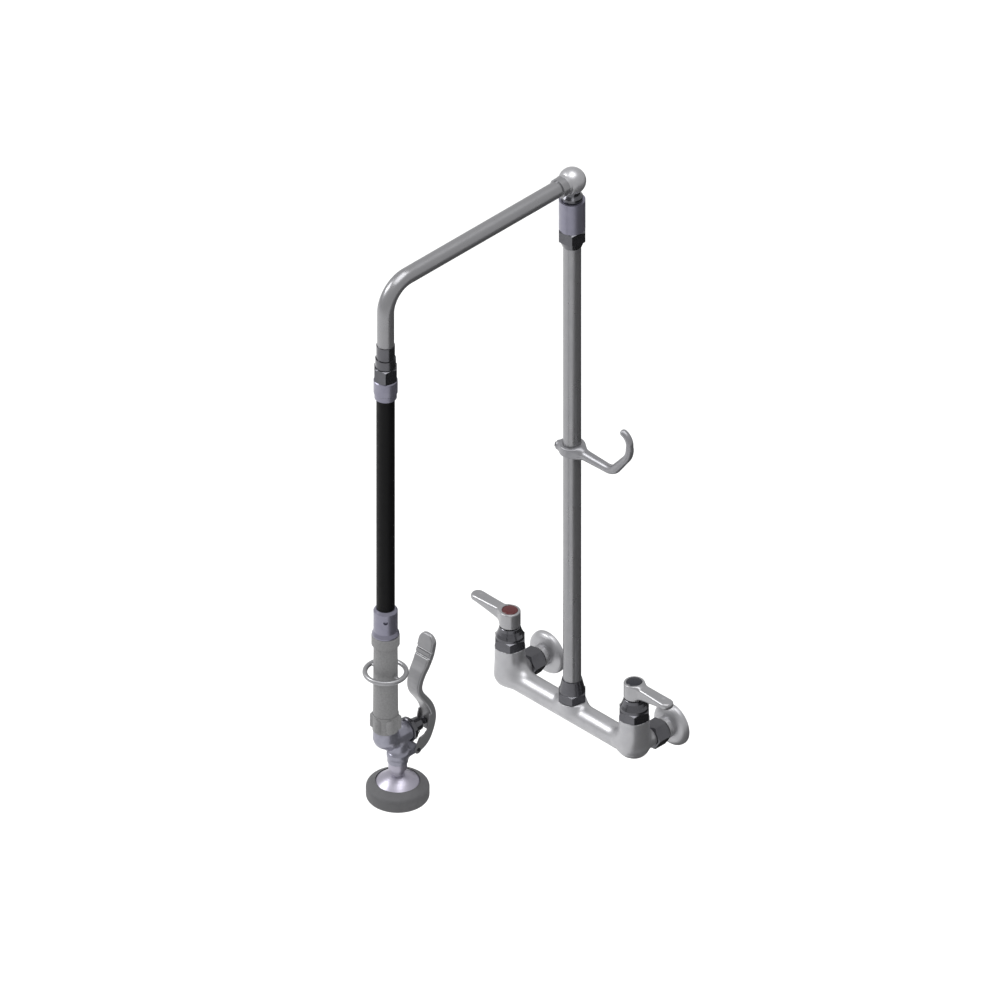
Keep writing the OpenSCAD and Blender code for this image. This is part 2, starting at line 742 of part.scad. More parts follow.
module upper_ferrule() color(chrome) at_hose() difference() {
    union() {
        translate([0, 0, washer_low - hose_flange_h]) cylinder(r = hose_flange_r, h = hose_flange_h);
        translate([0, 0, hose_top_z]) cylinder(r = hose_neck_r, h = washer_low - hose_top_z - eps);
        translate([0, 0, hose_top_z + ferrule_skirt_h]) rotate_extrude() polygon([
            [0, 0], [hose_r + ferrule_wall - 1, 0], [hose_r + ferrule_wall, 1],
            [hose_r + ferrule_wall, upper_ferrule_h - 1], [hose_r + ferrule_wall - 1, upper_ferrule_h],
            [0, upper_ferrule_h]
        ]);
        translate([0, 0, hose_top_z]) cylinder(r = hose_r + ferrule_skirt_wall, h = ferrule_skirt_h + eps);
    }
    translate([0, 0, hose_top_z - eps]) cylinder(r = hose_bore_r, h = washer_low);
}

module hose() color(dark) at_hose() translate([0, 0, hose_top_z])
    swept_bar(hose_route, [for (p = hose_route) hose_r], [1, 0, 0], hose_sides);

module lower_ferrule() color(chrome) at_spray() difference() {
    union() {
        translate([0, 0, ferrule_z]) rotate_extrude() polygon([
            [0, 0], [nut_r - 0.5, 0], [nut_r - 0.5, 1.5], [hose_r + ferrule_wall + 0.1, 6],
            [hose_r + ferrule_wall + 0.1, lower_ferrule_h - 3.5],
            [hose_r + 1, lower_ferrule_h], [0, lower_ferrule_h]
        ]);
        translate([0, 0, nut_z + core_spigot_h + end_washer_h + turn_gap])
            cylinder(r = stem_flange_r, h = stem_flange_h);
        translate([0, 0, nut_z + core_spigot_h + end_washer_h + turn_gap])
            cylinder(r = ferrule_stem_r, h = nut_h);
    }
    translate([0, 0, nut_z]) cylinder(r = hose_bore_r, h = nut_h + lower_ferrule_h + 1);
    rotate([0, 0, -45]) translate([hose_r + ferrule_wall - 2.2, 0, ferrule_z + dimple_z]) along_x()
        cylinder(r = dimple_r, h = 5);
}

// ---- Spray valve handle ----

module handle_nut() color(steel) at_spray() translate([0, 0, nut_z]) difference() {
    rotate_extrude() polygon([
        [0, 0], [nut_r - 1, 0], [nut_r, 1], [nut_r, nut_h - 1.5], [nut_r - 1.2, nut_h], [0, nut_h]
    ]);
    translate([0, 0, -eps])
        cylinder(r = core_spigot_r + thread_gap, h = core_spigot_h + end_washer_h + stem_flange_h + 0.3);
    cylinder(r = ferrule_stem_r + turn_gap, h = nut_h + eps);
}

module hose_end_washer() color(dark) at_spray()
    translate([0, 0, nut_z + core_spigot_h]) ring(stem_flange_r, core_bore_r, end_washer_h);

module handle_core() color(brass) at_spray() difference() {
    union() {
        translate([0, 0, core_seat]) cylinder(r = core_r, h = nut_z - core_seat + eps);
        translate([0, 0, nut_z]) cylinder(r = core_spigot_r, h = core_spigot_h);
    }
    translate([0, 0, core_seat - eps]) cylinder(r = core_bore_r, h = nut_z + core_spigot_h);
}

module handle_grip() color(steel) at_spray() difference() {
    translate([0, 0, grip_z]) cylinder(r1 = grip_low_r, r2 = grip_top_r, h = grip_len);
    translate([0, 0, grip_z - eps]) cylinder(r = core_r + thread_gap, h = grip_len + 2 * eps);
    for (end = [-1, 1]) translate([end * (core_r + 0.6 + 5), 0, ring_z]) along_x()
        cylinder(r = ring_prong_r + 0.1, h = 10, center = true);
}

module grip_collar() color(steel) at_spray() translate([0, 0, valve_top]) difference() {
    union() {
        cylinder(r = collar_r, h = collar_h);
        for (k = [0 : collar_lobes - 1]) rotate([0, 0, collar_turn + 360 / collar_lobes * k])
            translate([collar_lobe_at, 0, 2]) rotate_extrude() polygon([
                [0, 0], [collar_lobe_r - 1.4, 0], [collar_lobe_r, 1.4],
                [collar_lobe_r, collar_h - 6.5], [collar_lobe_r - 2, collar_h - 4], [0, collar_h - 4]
            ]);
    }
    translate([0, 0, -eps]) cylinder(r = core_r + thread_gap, h = collar_h + 2 * eps);
}

// Bar from the ball of the valve barrel down to the top of the outlet
module elbow_leg(r) {
    run = elbow_ball_y - outlet_y;
    drop = elbow_ball_z - leg_low_z;
    translate([0, elbow_ball_y, elbow_ball_z]) rotate([180 - atan2(run, drop), 0, 0])
        cylinder(r = r, h = norm([run, drop]));
}

module valve_body() color(chrome) at_spray() difference() {
    union() {
        translate([0, 0, valve_core_end]) cylinder(r = valve_core_r, h = valve_top - valve_core_end);
        translate([0, 0, valve_core_end]) sphere(r = valve_core_r);
        along_y() cylinder(r = spray_barrel_r, h = barrel_len);
        translate([0, elbow_ball_y, elbow_ball_z]) sphere(r = elbow_ball_r);
        elbow_leg(leg_r);
        translate([0, outlet_y, leg_low_z]) sphere(r = outlet_r);
        translate([0, outlet_y, outlet_low]) cylinder(r = outlet_r, h = leg_low_z - outlet_low);
        translate([0, outlet_y, outlet_low - outlet_spigot_h])
            cylinder(r = outlet_spigot_r, h = outlet_spigot_h + eps);
        translate([-lug_half_w, outlet_y, pivot_z - lug_r])
            cube([2 * lug_half_w, pivot_y - outlet_y, 2 * lug_r]);
        translate([-lug_half_w, pivot_y, pivot_z]) along_x() cylinder(r = lug_r, h = 2 * lug_half_w);
    }
    translate([0, 0, core_seat]) cylinder(r = core_r + thread_gap, h = valve_top);
    cylinder(r = core_bore_r, h = valve_top);
    translate([0, -core_bore_r, 0]) along_y() cylinder(r = valve_bore_r, h = core_bore_r + bonnet_thread_y);
    translate([0, spring_pocket_y, 0]) along_y() cylinder(r = spring_pocket_r, h = -spring_pocket_y);
    translate([0, bonnet_thread_y - 1, 0]) along_y()
        cylinder(r = bonnet_thread_r + thread_gap, h = barrel_len);
    elbow_leg(leg_bore_r);
    translate([0, outlet_y, outlet_low - outlet_spigot_h - eps])
        cylinder(r = core_bore_r, h = outlet_spigot_h + leg_low_z - outlet_low + 1);
    translate([-lug_half_w - 1, pivot_y, pivot_z]) along_x()
        cylinder(r = pivot_r + thread_gap, h = 2 * lug_half_w + 2);
}

module valve_seat() color("ivory") at_spray() translate([0, seat_y, 0]) along_y()
    ring(valve_bore_r, seat_hole_r, seat_h);

module valve_spring() color(steel) at_spray() {
    spring_len = poppet_y - spring_pocket_y - 2 * spring_wire_r;
    steps = spring_turns * 12;
    path = [for (i = [0 : steps]) [
        spring_r * cos(30 * i),
        spring_pocket_y + spring_wire_r + spring_len * i / steps,
        spring_r * sin(30 * i)
    ]];
    swept_bar(path, [for (p = path) spring_wire_r], [0, 1, 0], 8);
}

module valve_bonnet() color(steel) at_spray() difference() {
    union() {
        translate([0, bonnet_thread_y, 0]) along_y()
            cylinder(r = bonnet_thread_r, h = barrel_len - bonnet_thread_y + eps);
        translate([0, barrel_len, 0]) along_y() rotate_extrude() polygon([
            [0, 0], [bonnet_ring_r - 0.8, 0], [bonnet_ring_r, 0.8], [bonnet_ring_r, bonnet_ring_h - 1.2],
            [bonnet_ring_r - 1.2, bonnet_ring_h], [9.6, bonnet_ring_h + 0.6],
            [8.4, spray_bonnet_y - barrel_len - 0.8],
            [7.6, spray_bonnet_y - barrel_len], [0, spray_bonnet_y - barrel_len]
        ]);
    }
    translate([0, bonnet_thread_y - eps, 0]) along_y() cylinder(r = rod_r + turn_gap, h = spray_bonnet_y);
}

module lever_pin() color(steel) at_spray() translate([-squeeze_low_w - 1, pivot_y, pivot_z]) along_x()
    cylinder(r = pivot_r, h = 2 * squeeze_low_w + 2);

module plunger() color(brass) at_spray() {
    translate([0, poppet_y, 0]) along_y() cylinder(r = poppet_r, h = seat_y - poppet_y - turn_gap);
    translate([0, poppet_y, 0]) along_y() cylinder(r = rod_r, h = rod_end_y - poppet_y - 3);
    translate([0, rod_end_y - rod_cap_h, 0]) along_y() rotate_extrude() polygon([
        [0, 0], [rod_cap_r - 0.5, 0], [rod_cap_r, 0.5], [rod_cap_r, rod_cap_h - 1.4],
        [rod_cap_r - 1.2, rod_cap_h - 0.4], [1.8, rod_cap_h], [0, rod_cap_h]
    ]);
}

// ---- Squeeze lever and hold-down ring ----

lever_mid = smooth(lever_line, curve_steps);
function lever_side(i, s) =
    let (p = lever_mid[i], a = lever_mid[max(i - 1, 0)], b = lever_mid[min(i + 1, len(lever_mid) - 1)],
        t = unit([b[0] - a[0], b[1] - a[1]]))
    [p[0] - s * t[1] * p[2] / 2, p[1] + s * t[0] * p[2] / 2];

module squeeze_lever() color(chrome) at_spray() {
    last = len(lever_mid) - 1;
    outline = concat(
        [for (i = [0 : last]) lever_side(i, 1)], [for (i = [last : -1 : 0]) lever_side(i, -1)]);
    cheek_w = squeeze_low_w - lug_half_w - pass_gap;
    difference() {
        union() {
            intersection() {
                rotate([90, 0, 90]) linear_extrude(2 * squeeze_pad_w, center = true) polygon(outline);
                rotate([90, 0, 0]) linear_extrude(200, center = true) union() {
                    polygon([
                        [-squeeze_low_w, pivot_z - 10], [squeeze_low_w, pivot_z - 10],
                        [squeeze_low_w, 40], [squeeze_neck_w, 57], [squeeze_pad_w, squeeze_pad_z],
                        [squeeze_pad_w, squeeze_round_z], [-squeeze_pad_w, squeeze_round_z],
                        [-squeeze_pad_w, squeeze_pad_z], [-squeeze_neck_w, 57], [-squeeze_low_w, 40]
                    ]);
                    translate([0, squeeze_round_z]) circle(r = squeeze_pad_w);
                }
            }
            for (end = [-1, 1])
                translate([end * (squeeze_low_w - cheek_w / 2), pivot_y, pivot_z]) along_x()
                    cylinder(r = lug_r + 0.5, h = cheek_w, center = true);
            for (end = [-1, 1])
                translate([end * (squeeze_low_w - cheek_w / 2), 0, 0]) rotate([90, 0, 90])
                    linear_extrude(cheek_w, center = true) polygon(cheek_line);
        }
        translate([-lug_half_w - pass_gap, 0, pivot_z - 20])
            cube([2 * (lug_half_w + pass_gap), 100, fork_top - pivot_z + 20]);
        translate([-squeeze_low_w - 1, pivot_y, pivot_z]) along_x()
            cylinder(r = pivot_r + turn_gap, h = 2 * squeeze_low_w + 2);
        for (g = lever_grooves) translate([0, g[0], g[1]]) along_x()
            cylinder(r = lever_groove_r, h = 2 * squeeze_pad_w + 2, center = true);
    }
}

// Wire ring with two prongs that pivot in the grip
module hold_down_ring() color(steel) at_spray() translate([0, 0, ring_z]) {
    torus(ring_r, ring_wire_r);
    prong_start = grip_low_r - ring_prong_depth + 1;
    for (end = [0, 180]) rotate([0, 0, end]) translate([prong_start, 0, 0]) along_x()
        cylinder(r = ring_prong_r, h = ring_r - prong_start);
}

// ---- Spray head ----

function dome_r(t) = head_neck_r + (head_rim_r - head_neck_r) * t;
function dome_z(t) = dome_top + (head_rim_top - dome_top) * (1 - cos(90 * t)) * 0.55
    + (head_rim_top - dome_top) * 0.45 * t;

module spray_head() color(chrome) at_head() difference() {
    union() {
        rotate_extrude() polygon(concat(
            [[0, head_rim_low], [head_rim_r, head_rim_low]],
            [for (k = [8 : -1 : 0]) [dome_r(k / 8), dome_z(k / 8)]],
            [
                [head_neck_r, outlet_low - head_collar_h], [head_collar_r, outlet_low - head_collar_h],
                [head_collar_r, outlet_low], [0, outlet_low]
            ]
        ));
    }
    difference() {
        rotate_extrude() polygon([
            [0, head_rim_low - eps], [head_rim_r - 4, head_rim_low - eps],
            [head_rim_r - 4, head_rim_top - 3], [head_neck_r + 4, dome_top - 7],
            [core_bore_r - 1, dome_top - 3], [core_bore_r - 1, outlet_low], [0, outlet_low]
        ]);
        translate([0, 0, head_rim_low - 1]) cylinder(r = post_r, h = 11);
        for (turn = [30, 150, 270]) rotate([0, 0, turn])
            translate([0, -1.25, head_rim_low + 4]) cube([head_rim_r, 2.5, 6]);
    }
    translate([0, 0, outlet_low - outlet_spigot_h])
        cylinder(r = outlet_spigot_r + thread_gap, h = outlet_spigot_h + eps);
    translate([0, 0, head_rim_low - eps]) cylinder(r = handle_screw_r + thread_gap, h = 8);
}

module spray_face() color(steel) at_head() translate([0, 0, head_rim_low - face_h]) difference() {
    cylinder(r = head_rim_r - thread_gap, h = face_h);
    translate([0, 0, -eps]) cylinder(r = handle_screw_r + thread_gap, h = face_h + 1);
    for (row = face_rings) for (k = [0 : row[1] - 1]) rotate([0, 0, 360 * k / row[1]])
        translate([row[0], 0, -eps]) cylinder(r = face_hole_r, h = face_h + 1);
}

module face_screw() color(steel) at_head() translate([0, 0, head_rim_low - face_h]) difference() {
    union() {
        translate([0, 0, -1.6]) cylinder(r1 = 3.4, r2 = 4.2, h = 1.6);
        cylinder(r = handle_screw_r, h = 9);
    }
    translate([-5, -0.6, -2]) cube([10, 1.2, 1.2]);
}

module bumper() color(rubber) at_head() {
    r = bumper_d / 2;
    e = bumper_edge;
    face_z = head_rim_low - face_h;
    lip_r = dome_r(0.78) + 0.1;
    rotate_extrude() polygon(concat(
        [[head_rim_r - bumper_lip, bumper_low], [r - e, bumper_low]],
        [for (a = [-75 : 15 : 0]) [r - e + e * cos(a), bumper_low + e + e * sin(a)]],
        [for (a = [0 : 15 : 60]) [r - 6 + 6 * cos(a), head_rim_top - 4 + 6 * sin(a)]],
        [[lip_r, dome_z(0.78) + 1.4]],
        [for (k = [0.78, 0.86, 0.93, 1]) [dome_r(k) + thread_gap, dome_z(k) + thread_gap]],
        [[head_rim_r + thread_gap, face_z], [head_rim_r - bumper_lip, face_z]]
    ));
}

// ---- Finger hook ----

// Draws the rod from run i on; each run starts where the last one ends, heading along +X.
// Straight runs are a hair thinner than the bends and reach a little way into them
module hook_rod(i) {
    run = hook_runs[i];
    if (run[1] == 0) {
        translate([-hook_lap, 0, 0]) along_x()
            cylinder(r1 = run[2], r2 = run[3], h = run[0] + 2 * hook_lap);
        translate([run[0], 0, 0]) hook_next(i);
    } else {
        translate([0, 0, run[0]]) rotate([90, 0, 0]) rotate([0, 0, -90])
            rotate_extrude(angle = run[1]) translate([run[0], 0]) circle(r = run[2]);
        translate([run[0] * sin(run[1]), 0, run[0] * (1 - cos(run[1]))])
            rotate([0, -run[1], 0]) hook_next(i);
    }
}

module hook_next(i)
    if (i + 1 < len(hook_runs)) hook_rod(i + 1);
    else sphere(r = hook_runs[i][3] + 0.15);

module hook_boss_line() rotate([0, 0, hook_boss_turn]) along_x() children();

module finger_hook() color(chrome) at_riser() translate([0, 0, hook_z]) difference() {
    union() {
        translate([0, 0, -hook_collar_h / 2]) rotate_extrude() polygon([
            [0, 0], [hook_collar_r - 1.5, 0], [hook_collar_r, 2],
            [hook_collar_r, hook_collar_h - 2], [hook_collar_r - 1.5, hook_collar_h],
            [0, hook_collar_h]
        ]);
        hook_rod(0);
        hook_boss_line() cylinder(r1 = hook_boss_r + 1, r2 = hook_boss_r - 1.4, h = hook_boss_end);
    }
    cylinder(r = riser_r + turn_gap, h = 3 * hook_collar_h, center = true);
    hook_boss_line() cylinder(r = hook_screw_r + thread_gap, h = hook_boss_end + 1);
}

// Set screw with a hexagon socket, just clear of the riser
module hook_screw() color(steel) at_riser() translate([0, 0, hook_z]) hook_boss_line() difference() {
    translate([0, 0, riser_r + turn_gap]) cylinder(r = hook_screw_r, h = hook_screw_end - riser_r);
    translate([0, 0, hook_screw_end - 2.5]) cylinder(r = 1.7, h = 4, $fn = 6);
}

// ---- Drawing ----

mixing_body();
inlet_flange(-1);  // inlet_flange_left
inlet_flange(1);  // inlet_flange_right
union_nuts();
union_washers();
bonnet(-1);  // bonnet_left
bonnet(1);  // bonnet_right
cartridge(-1);  // cartridge_left
cartridge(1);  // cartridge_right
fixed_discs();
seat_seals();
riser_adapter();
riser_gasket();
riser();
swivel_nut();
swivel_sleeve();
swivel_bearing();
swivel_clip();
handle(-1);  // hot_handle
index_cap(-1, "darkred");  // hot_index_cap
handle_screw(-1);  // hot_screw
stem(-1);  // hot_stem
stem_disc(-1);  // hot_disc
stem_orings(-1);  // hot_orings
handle(1);  // cold_handle
index_cap(1, "navy");  // cold_index_cap
handle_screw(1);  // cold_screw
stem(1);  // cold_stem
stem_disc(1);  // cold_disc
stem_orings(1);  // cold_orings
swivel_stem();
swivel_orings();
ball_elbow();
arm_collar();
arm_tube();
arm_end_adapter();
hose_nut();
hose_washer();
upper_ferrule();
hose();
lower_ferrule();
handle_nut();
hose_end_washer();
handle_core();
handle_grip();
grip_collar();
valve_body();
valve_seat();
valve_spring();
valve_bonnet();
lever_pin();
spray_head();
spray_face();
face_screw();
bumper();
plunger();
squeeze_lever();
hold_down_ring();
finger_hook();
hook_screw();
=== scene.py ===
"""Looks of a wall-mounted pre-rinse faucet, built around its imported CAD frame. Metres, +Z up."""
import json
import math

import bmesh
import bpy
import numpy as np
from mathutils import Matrix, Vector


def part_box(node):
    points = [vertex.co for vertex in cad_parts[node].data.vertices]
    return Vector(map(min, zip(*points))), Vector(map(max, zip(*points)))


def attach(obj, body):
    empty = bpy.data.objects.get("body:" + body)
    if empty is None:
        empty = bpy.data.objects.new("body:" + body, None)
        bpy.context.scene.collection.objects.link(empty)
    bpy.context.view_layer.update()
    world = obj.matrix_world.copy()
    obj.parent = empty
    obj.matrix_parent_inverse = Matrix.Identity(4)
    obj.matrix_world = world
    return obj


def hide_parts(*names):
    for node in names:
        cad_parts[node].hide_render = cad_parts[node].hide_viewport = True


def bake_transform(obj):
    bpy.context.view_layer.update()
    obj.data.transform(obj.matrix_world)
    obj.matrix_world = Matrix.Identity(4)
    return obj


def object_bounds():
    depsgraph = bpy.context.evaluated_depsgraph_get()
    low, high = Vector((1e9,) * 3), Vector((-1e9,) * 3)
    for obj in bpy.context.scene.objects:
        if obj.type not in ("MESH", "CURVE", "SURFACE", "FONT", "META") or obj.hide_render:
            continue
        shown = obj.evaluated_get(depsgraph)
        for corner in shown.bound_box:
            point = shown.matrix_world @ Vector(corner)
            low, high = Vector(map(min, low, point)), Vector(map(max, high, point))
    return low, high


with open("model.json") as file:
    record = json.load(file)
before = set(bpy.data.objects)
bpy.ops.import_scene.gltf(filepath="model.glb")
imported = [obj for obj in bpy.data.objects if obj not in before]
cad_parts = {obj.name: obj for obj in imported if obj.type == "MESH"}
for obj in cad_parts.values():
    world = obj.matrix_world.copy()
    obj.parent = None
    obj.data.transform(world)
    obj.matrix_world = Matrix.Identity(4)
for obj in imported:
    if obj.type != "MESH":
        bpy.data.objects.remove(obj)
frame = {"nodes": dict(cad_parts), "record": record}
cad_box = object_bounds()
MM = 0.001


# ---- Camera ----

VIEW_AZIMUTH = math.radians(45)
VIEW_ELEVATION = math.radians(35.264)
VIEW_WIDTH = 1.1563
VIEW_CENTRE = Vector((0.0936, -0.2750, 0.4492))
VIEW_DISTANCE = 3.0
VIEW_DEPTH = 20


def to_viewer():
    """Unit vector from the object towards the viewer."""
    flat = math.cos(VIEW_ELEVATION)
    return Vector((flat * math.sin(VIEW_AZIMUTH), -flat * math.cos(VIEW_AZIMUTH), math.sin(VIEW_ELEVATION)))


def look_at(obj, target):
    obj.rotation_euler = (target - obj.location).to_track_quat("-Z", "Y").to_euler()


def make_camera():
    data = bpy.data.cameras.new("camera")
    data.type = "ORTHO"
    data.ortho_scale = VIEW_WIDTH
    data.clip_end = VIEW_DEPTH
    cam = bpy.data.objects.new("camera", data)
    bpy.context.scene.collection.objects.link(cam)
    cam.location = VIEW_CENTRE + to_viewer() * VIEW_DISTANCE
    look_at(cam, VIEW_CENTRE)
    bpy.context.scene.camera = cam


make_camera()


# ---- Small helpers ----

SAME_POINT = 1e-7


def srgb(code):
    """An sRGB hex colour as linear RGBA."""
    parts = [int(code[i:i + 2], 16) / 255 for i in (1, 3, 5)]
    return tuple(c / 12.92 if c <= 0.04045 else ((c + 0.055) / 1.055) ** 2.4 for c in parts) + (1.0,)


def mesh_object(name, bm, smooth_angle=40):
    """A new object from a bmesh, shaded smooth except across sharp edges."""
    bmesh.ops.remove_doubles(bm, verts=bm.verts, dist=SAME_POINT)
    bmesh.ops.recalc_face_normals(bm, faces=bm.faces)
    mesh = bpy.data.meshes.new(name)
    bm.to_mesh(mesh)
    bm.free()
    obj = bpy.data.objects.new(name, mesh)
    bpy.context.scene.collection.objects.link(obj)
    shade_smooth(mesh, smooth_angle)
    return obj


def shade_smooth(mesh, angle):
    bm = bmesh.new()
    bm.from_mesh(mesh)
    for face in bm.faces:
        face.smooth = True
    for edge in bm.edges:
        edge.smooth = edge.is_manifold and edge.calc_face_angle(0) < math.radians(angle)
    bm.to_mesh(mesh)
    bm.free()


def put_on(obj, material, body, slot_name, *nodes):
    """Gives a finished piece its material and its body, and hides the CAD nodes it stands for; slot_name is
    not used.
    """
    obj.data.materials.clear()
    obj.data.materials.append(material)
    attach(obj, body)
    if nodes:
        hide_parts(*nodes)
    return obj


# ---- Hose ----

HOSE_ROUTE_MM = [
    (0, 0, 0), (0, 0, -20), (0, 0, -40), (0, 0, -60), (0, 0, -80), (0, 0, -100),
    (0, 0, -120), (0, 0, -140), (0, 0, -160), (0, 0, -180), (0, 0, -200), (0, 0, -220),
    (0, 0, -240), (0, 0, -260), (0, 0, -280), (0, 0, -298),
]
HOSE_DIAMETER = 21.6 * MM
HOSE_SIDES = 64
HOSE_RING_STEP = 3.0 * MM

hose_low, hose_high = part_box("hose")
HOSE_AXIS = ((hose_low + hose_high) / 2).xy
HOSE_EXIT = Vector((HOSE_AXIS.x, HOSE_AXIS.y, hose_high.z))
HOSE_PATH = [HOSE_EXIT + Vector(p) * MM for p in HOSE_ROUTE_MM]


def tube_along(name, path, radius, sides, step):
    """A closed round tube that follows a path, with a ring about every step."""
    bm = bmesh.new()
    rings = []
    for a, b in zip(path, path[1:]):
        count = max(1, round((b - a).length / step))
        rings += [a.lerp(b, k / count) for k in range(count)]
    rings.append(path[-1])
    loops = []
    for centre in rings:
        turns = [2 * math.pi * k / sides for k in range(sides)]
        loops.append([bm.verts.new(centre + Vector((radius * math.cos(t), radius * math.sin(t), 0)))
                      for t in turns])
    for low, high in zip(loops, loops[1:]):
        for k in range(sides):
            m = (k + 1) % sides
            bm.faces.new((low[k], low[m], high[m], high[k]))
    bm.faces.new(loops[0])
    bm.faces.new(loops[-1])
    return mesh_object(name, bm, 50)


hose = tube_along("spray_hose", HOSE_PATH, HOSE_DIAMETER / 2, HOSE_SIDES, HOSE_RING_STEP)
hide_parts("hose")
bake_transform(hose)


# ---- Floor and light ----

FLOOR_DROP = 0.22
FLOOR_SIZE = 14.0
WORLD_STRENGTH = 0.75
LIGHT_TARGET = Vector((0, -0.25, 0.4))
# Name, place, size and power of each soft light
AREA_LIGHTS = (
    ("key", (-2.2, -2.0, 2.6), (1.6, 1.6), 70),
    ("top", (0.2, -0.2, 3.4), (2.2, 2.2), 60),
)
# Corners of the dark card: metres to the right and away, from CARD_MIDDLE_Y
CARD_CORNERS = ((0.16, -0.9), (3.0, -2.2), (3.0, 3.0), (-0.5, 3.0), (0.05, 0.2))
CARD_MIDDLE_Y = -0.15
CARD_LIFT = 0.002


def flat_paint(name, colour, roughness):
    """A plain matt material for the things around the object."""
    paint = bpy.data.materials.new(name)
    paint.use_nodes = True
    shader = paint.node_tree.nodes["Principled BSDF"]
    shader.inputs["Base Color"].default_value = srgb(colour)
    shader.inputs["Roughness"].default_value = roughness
    return paint


def make_floor():
    bm = bmesh.new()
    z = cad_box[0][2] - FLOOR_DROP
    half = FLOOR_SIZE / 2
    corners = ((-1, -1), (1, -1), (1, 1), (-1, 1))
    bm.faces.new([bm.verts.new((x * half, y * half, z)) for x, y in corners])
    floor = mesh_object("floor", bm)
    floor.data.materials.append(flat_paint("pale_floor", "#F4F4F4", 0.9))


def area_light(name, place, target, size, power):
    data = bpy.data.lights.new(name, "AREA")
    data.shape = "RECTANGLE"
    data.size, data.size_y = size
    data.energy = power
    obj = bpy.data.objects.new(name, data)
    bpy.context.scene.collection.objects.link(obj)
    obj.location = place
    look_at(obj, target)


def make_light():
    world = bpy.data.worlds.new("studio")
    world.use_nodes = True
    back = world.node_tree.nodes["Background"]
    back.inputs["Color"].default_value = (1, 1, 1, 1)
    back.inputs["Strength"].default_value = WORLD_STRENGTH
    bpy.context.scene.world = world
    for name, place, size, power in AREA_LIGHTS:
        area_light(name, Vector(place), LIGHT_TARGET, size, power)
    scene = bpy.context.scene
    scene.view_settings.view_transform = "Standard"
    scene.view_settings.look = "None"


def make_dark_card():
    """Black card on the floor to the right, seen only in reflections, as the dark side of metal."""
    bm = bmesh.new()
    z = cad_box[0][2] - FLOOR_DROP + CARD_LIFT
    right, away = Vector((0.7071, 0.7071, 0)), Vector((-0.7071, 0.7071, 0))
    middle = Vector((0, CARD_MIDDLE_Y, z))
    bm.faces.new([bm.verts.new(right * u + away * v + middle) for u, v in CARD_CORNERS])
    card = mesh_object("dark_card", bm)
    card.data.materials.append(flat_paint("black_card", "#0A0A0A", 1.0))
    card.visible_camera = False
    card.visible_shadow = False
    card.visible_diffuse = False
    card.visible_transmission = False


make_floor()
make_light()
make_dark_card()


# ---- Distance shapes: every function gives signed millimetres for an array of points ----

FAR = 1e9
PROBE = 0.02
PULLS = 3
LONGEST_PULL = 0.5
LEAST_SLOPE = 0.2


def round_corner(a, b, edge):
    """What lies inside both a and b, with the corner between them rounded by edge."""
    a, b = a + edge, b + edge
    return np.minimum(np.maximum(a, b), 0) + np.hypot(np.maximum(a, 0), np.maximum(b, 0)) - edge


def cylinder(p, a, b, ra, rb=None, edge=0.0):
    """Capped cylinder or cone between two points, with rounded rims."""
    a, axis = np.array(a, float), np.array(b, float) - np.array(a, float)
    length = np.linalg.norm(axis)
    axis /= length
    along = (p - a) @ axis
    out = np.linalg.norm(p - a - along[:, None] * axis, axis=1)
    radius = ra if rb is None else ra + (rb - ra) * np.clip(along / length, 0, 1)
    return round_corner(out - radius, np.abs(along - length / 2) - length / 2, edge)


def ball(p, centre, r):
    return np.linalg.norm(p - np.array(centre, float), axis=1) - r


def box(p, low, high, edge=0.0):
    low, high = np.array(low, float), np.array(high, float)
    q = np.abs(p - (low + high) / 2) - (high - low) / 2 + edge
    return np.minimum(q.max(axis=1), 0) + np.linalg.norm(np.maximum(q, 0), axis=1) - edge


def rod(p, points, radii):
    """Round rod through a row of points, its thickness changing from one to the next."""
    best = np.full(len(p), FAR)
    for a, b, ra, rb in zip(points, points[1:], radii, radii[1:]):
        a, b = np.array(a, float), np.array(b, float)
        t = np.clip((p - a) @ (b - a) / ((b - a) @ (b - a)), 0, 1)
        best = np.minimum(best, np.linalg.norm(p - a - t[:, None] * (b - a), axis=1) - ra - (rb - ra) * t)
    return best


def blend(a, b, k):
    """Two shapes joined by a fillet about k wide."""
    h = np.clip(0.5 + 0.5 * (b - a) / k, 0, 1)
    return b * (1 - h) + a * h - k * h * (1 - h)


def cut(a, b, k=0.0):
    return np.maximum(a, -b) if k == 0 else -blend(-a, b, k)


def corner_view(values, i, j, k):
    n = [m - 1 for m in values.shape]
    return values[i:n[0] + i, j:n[1] + j, k:n[2] + k]


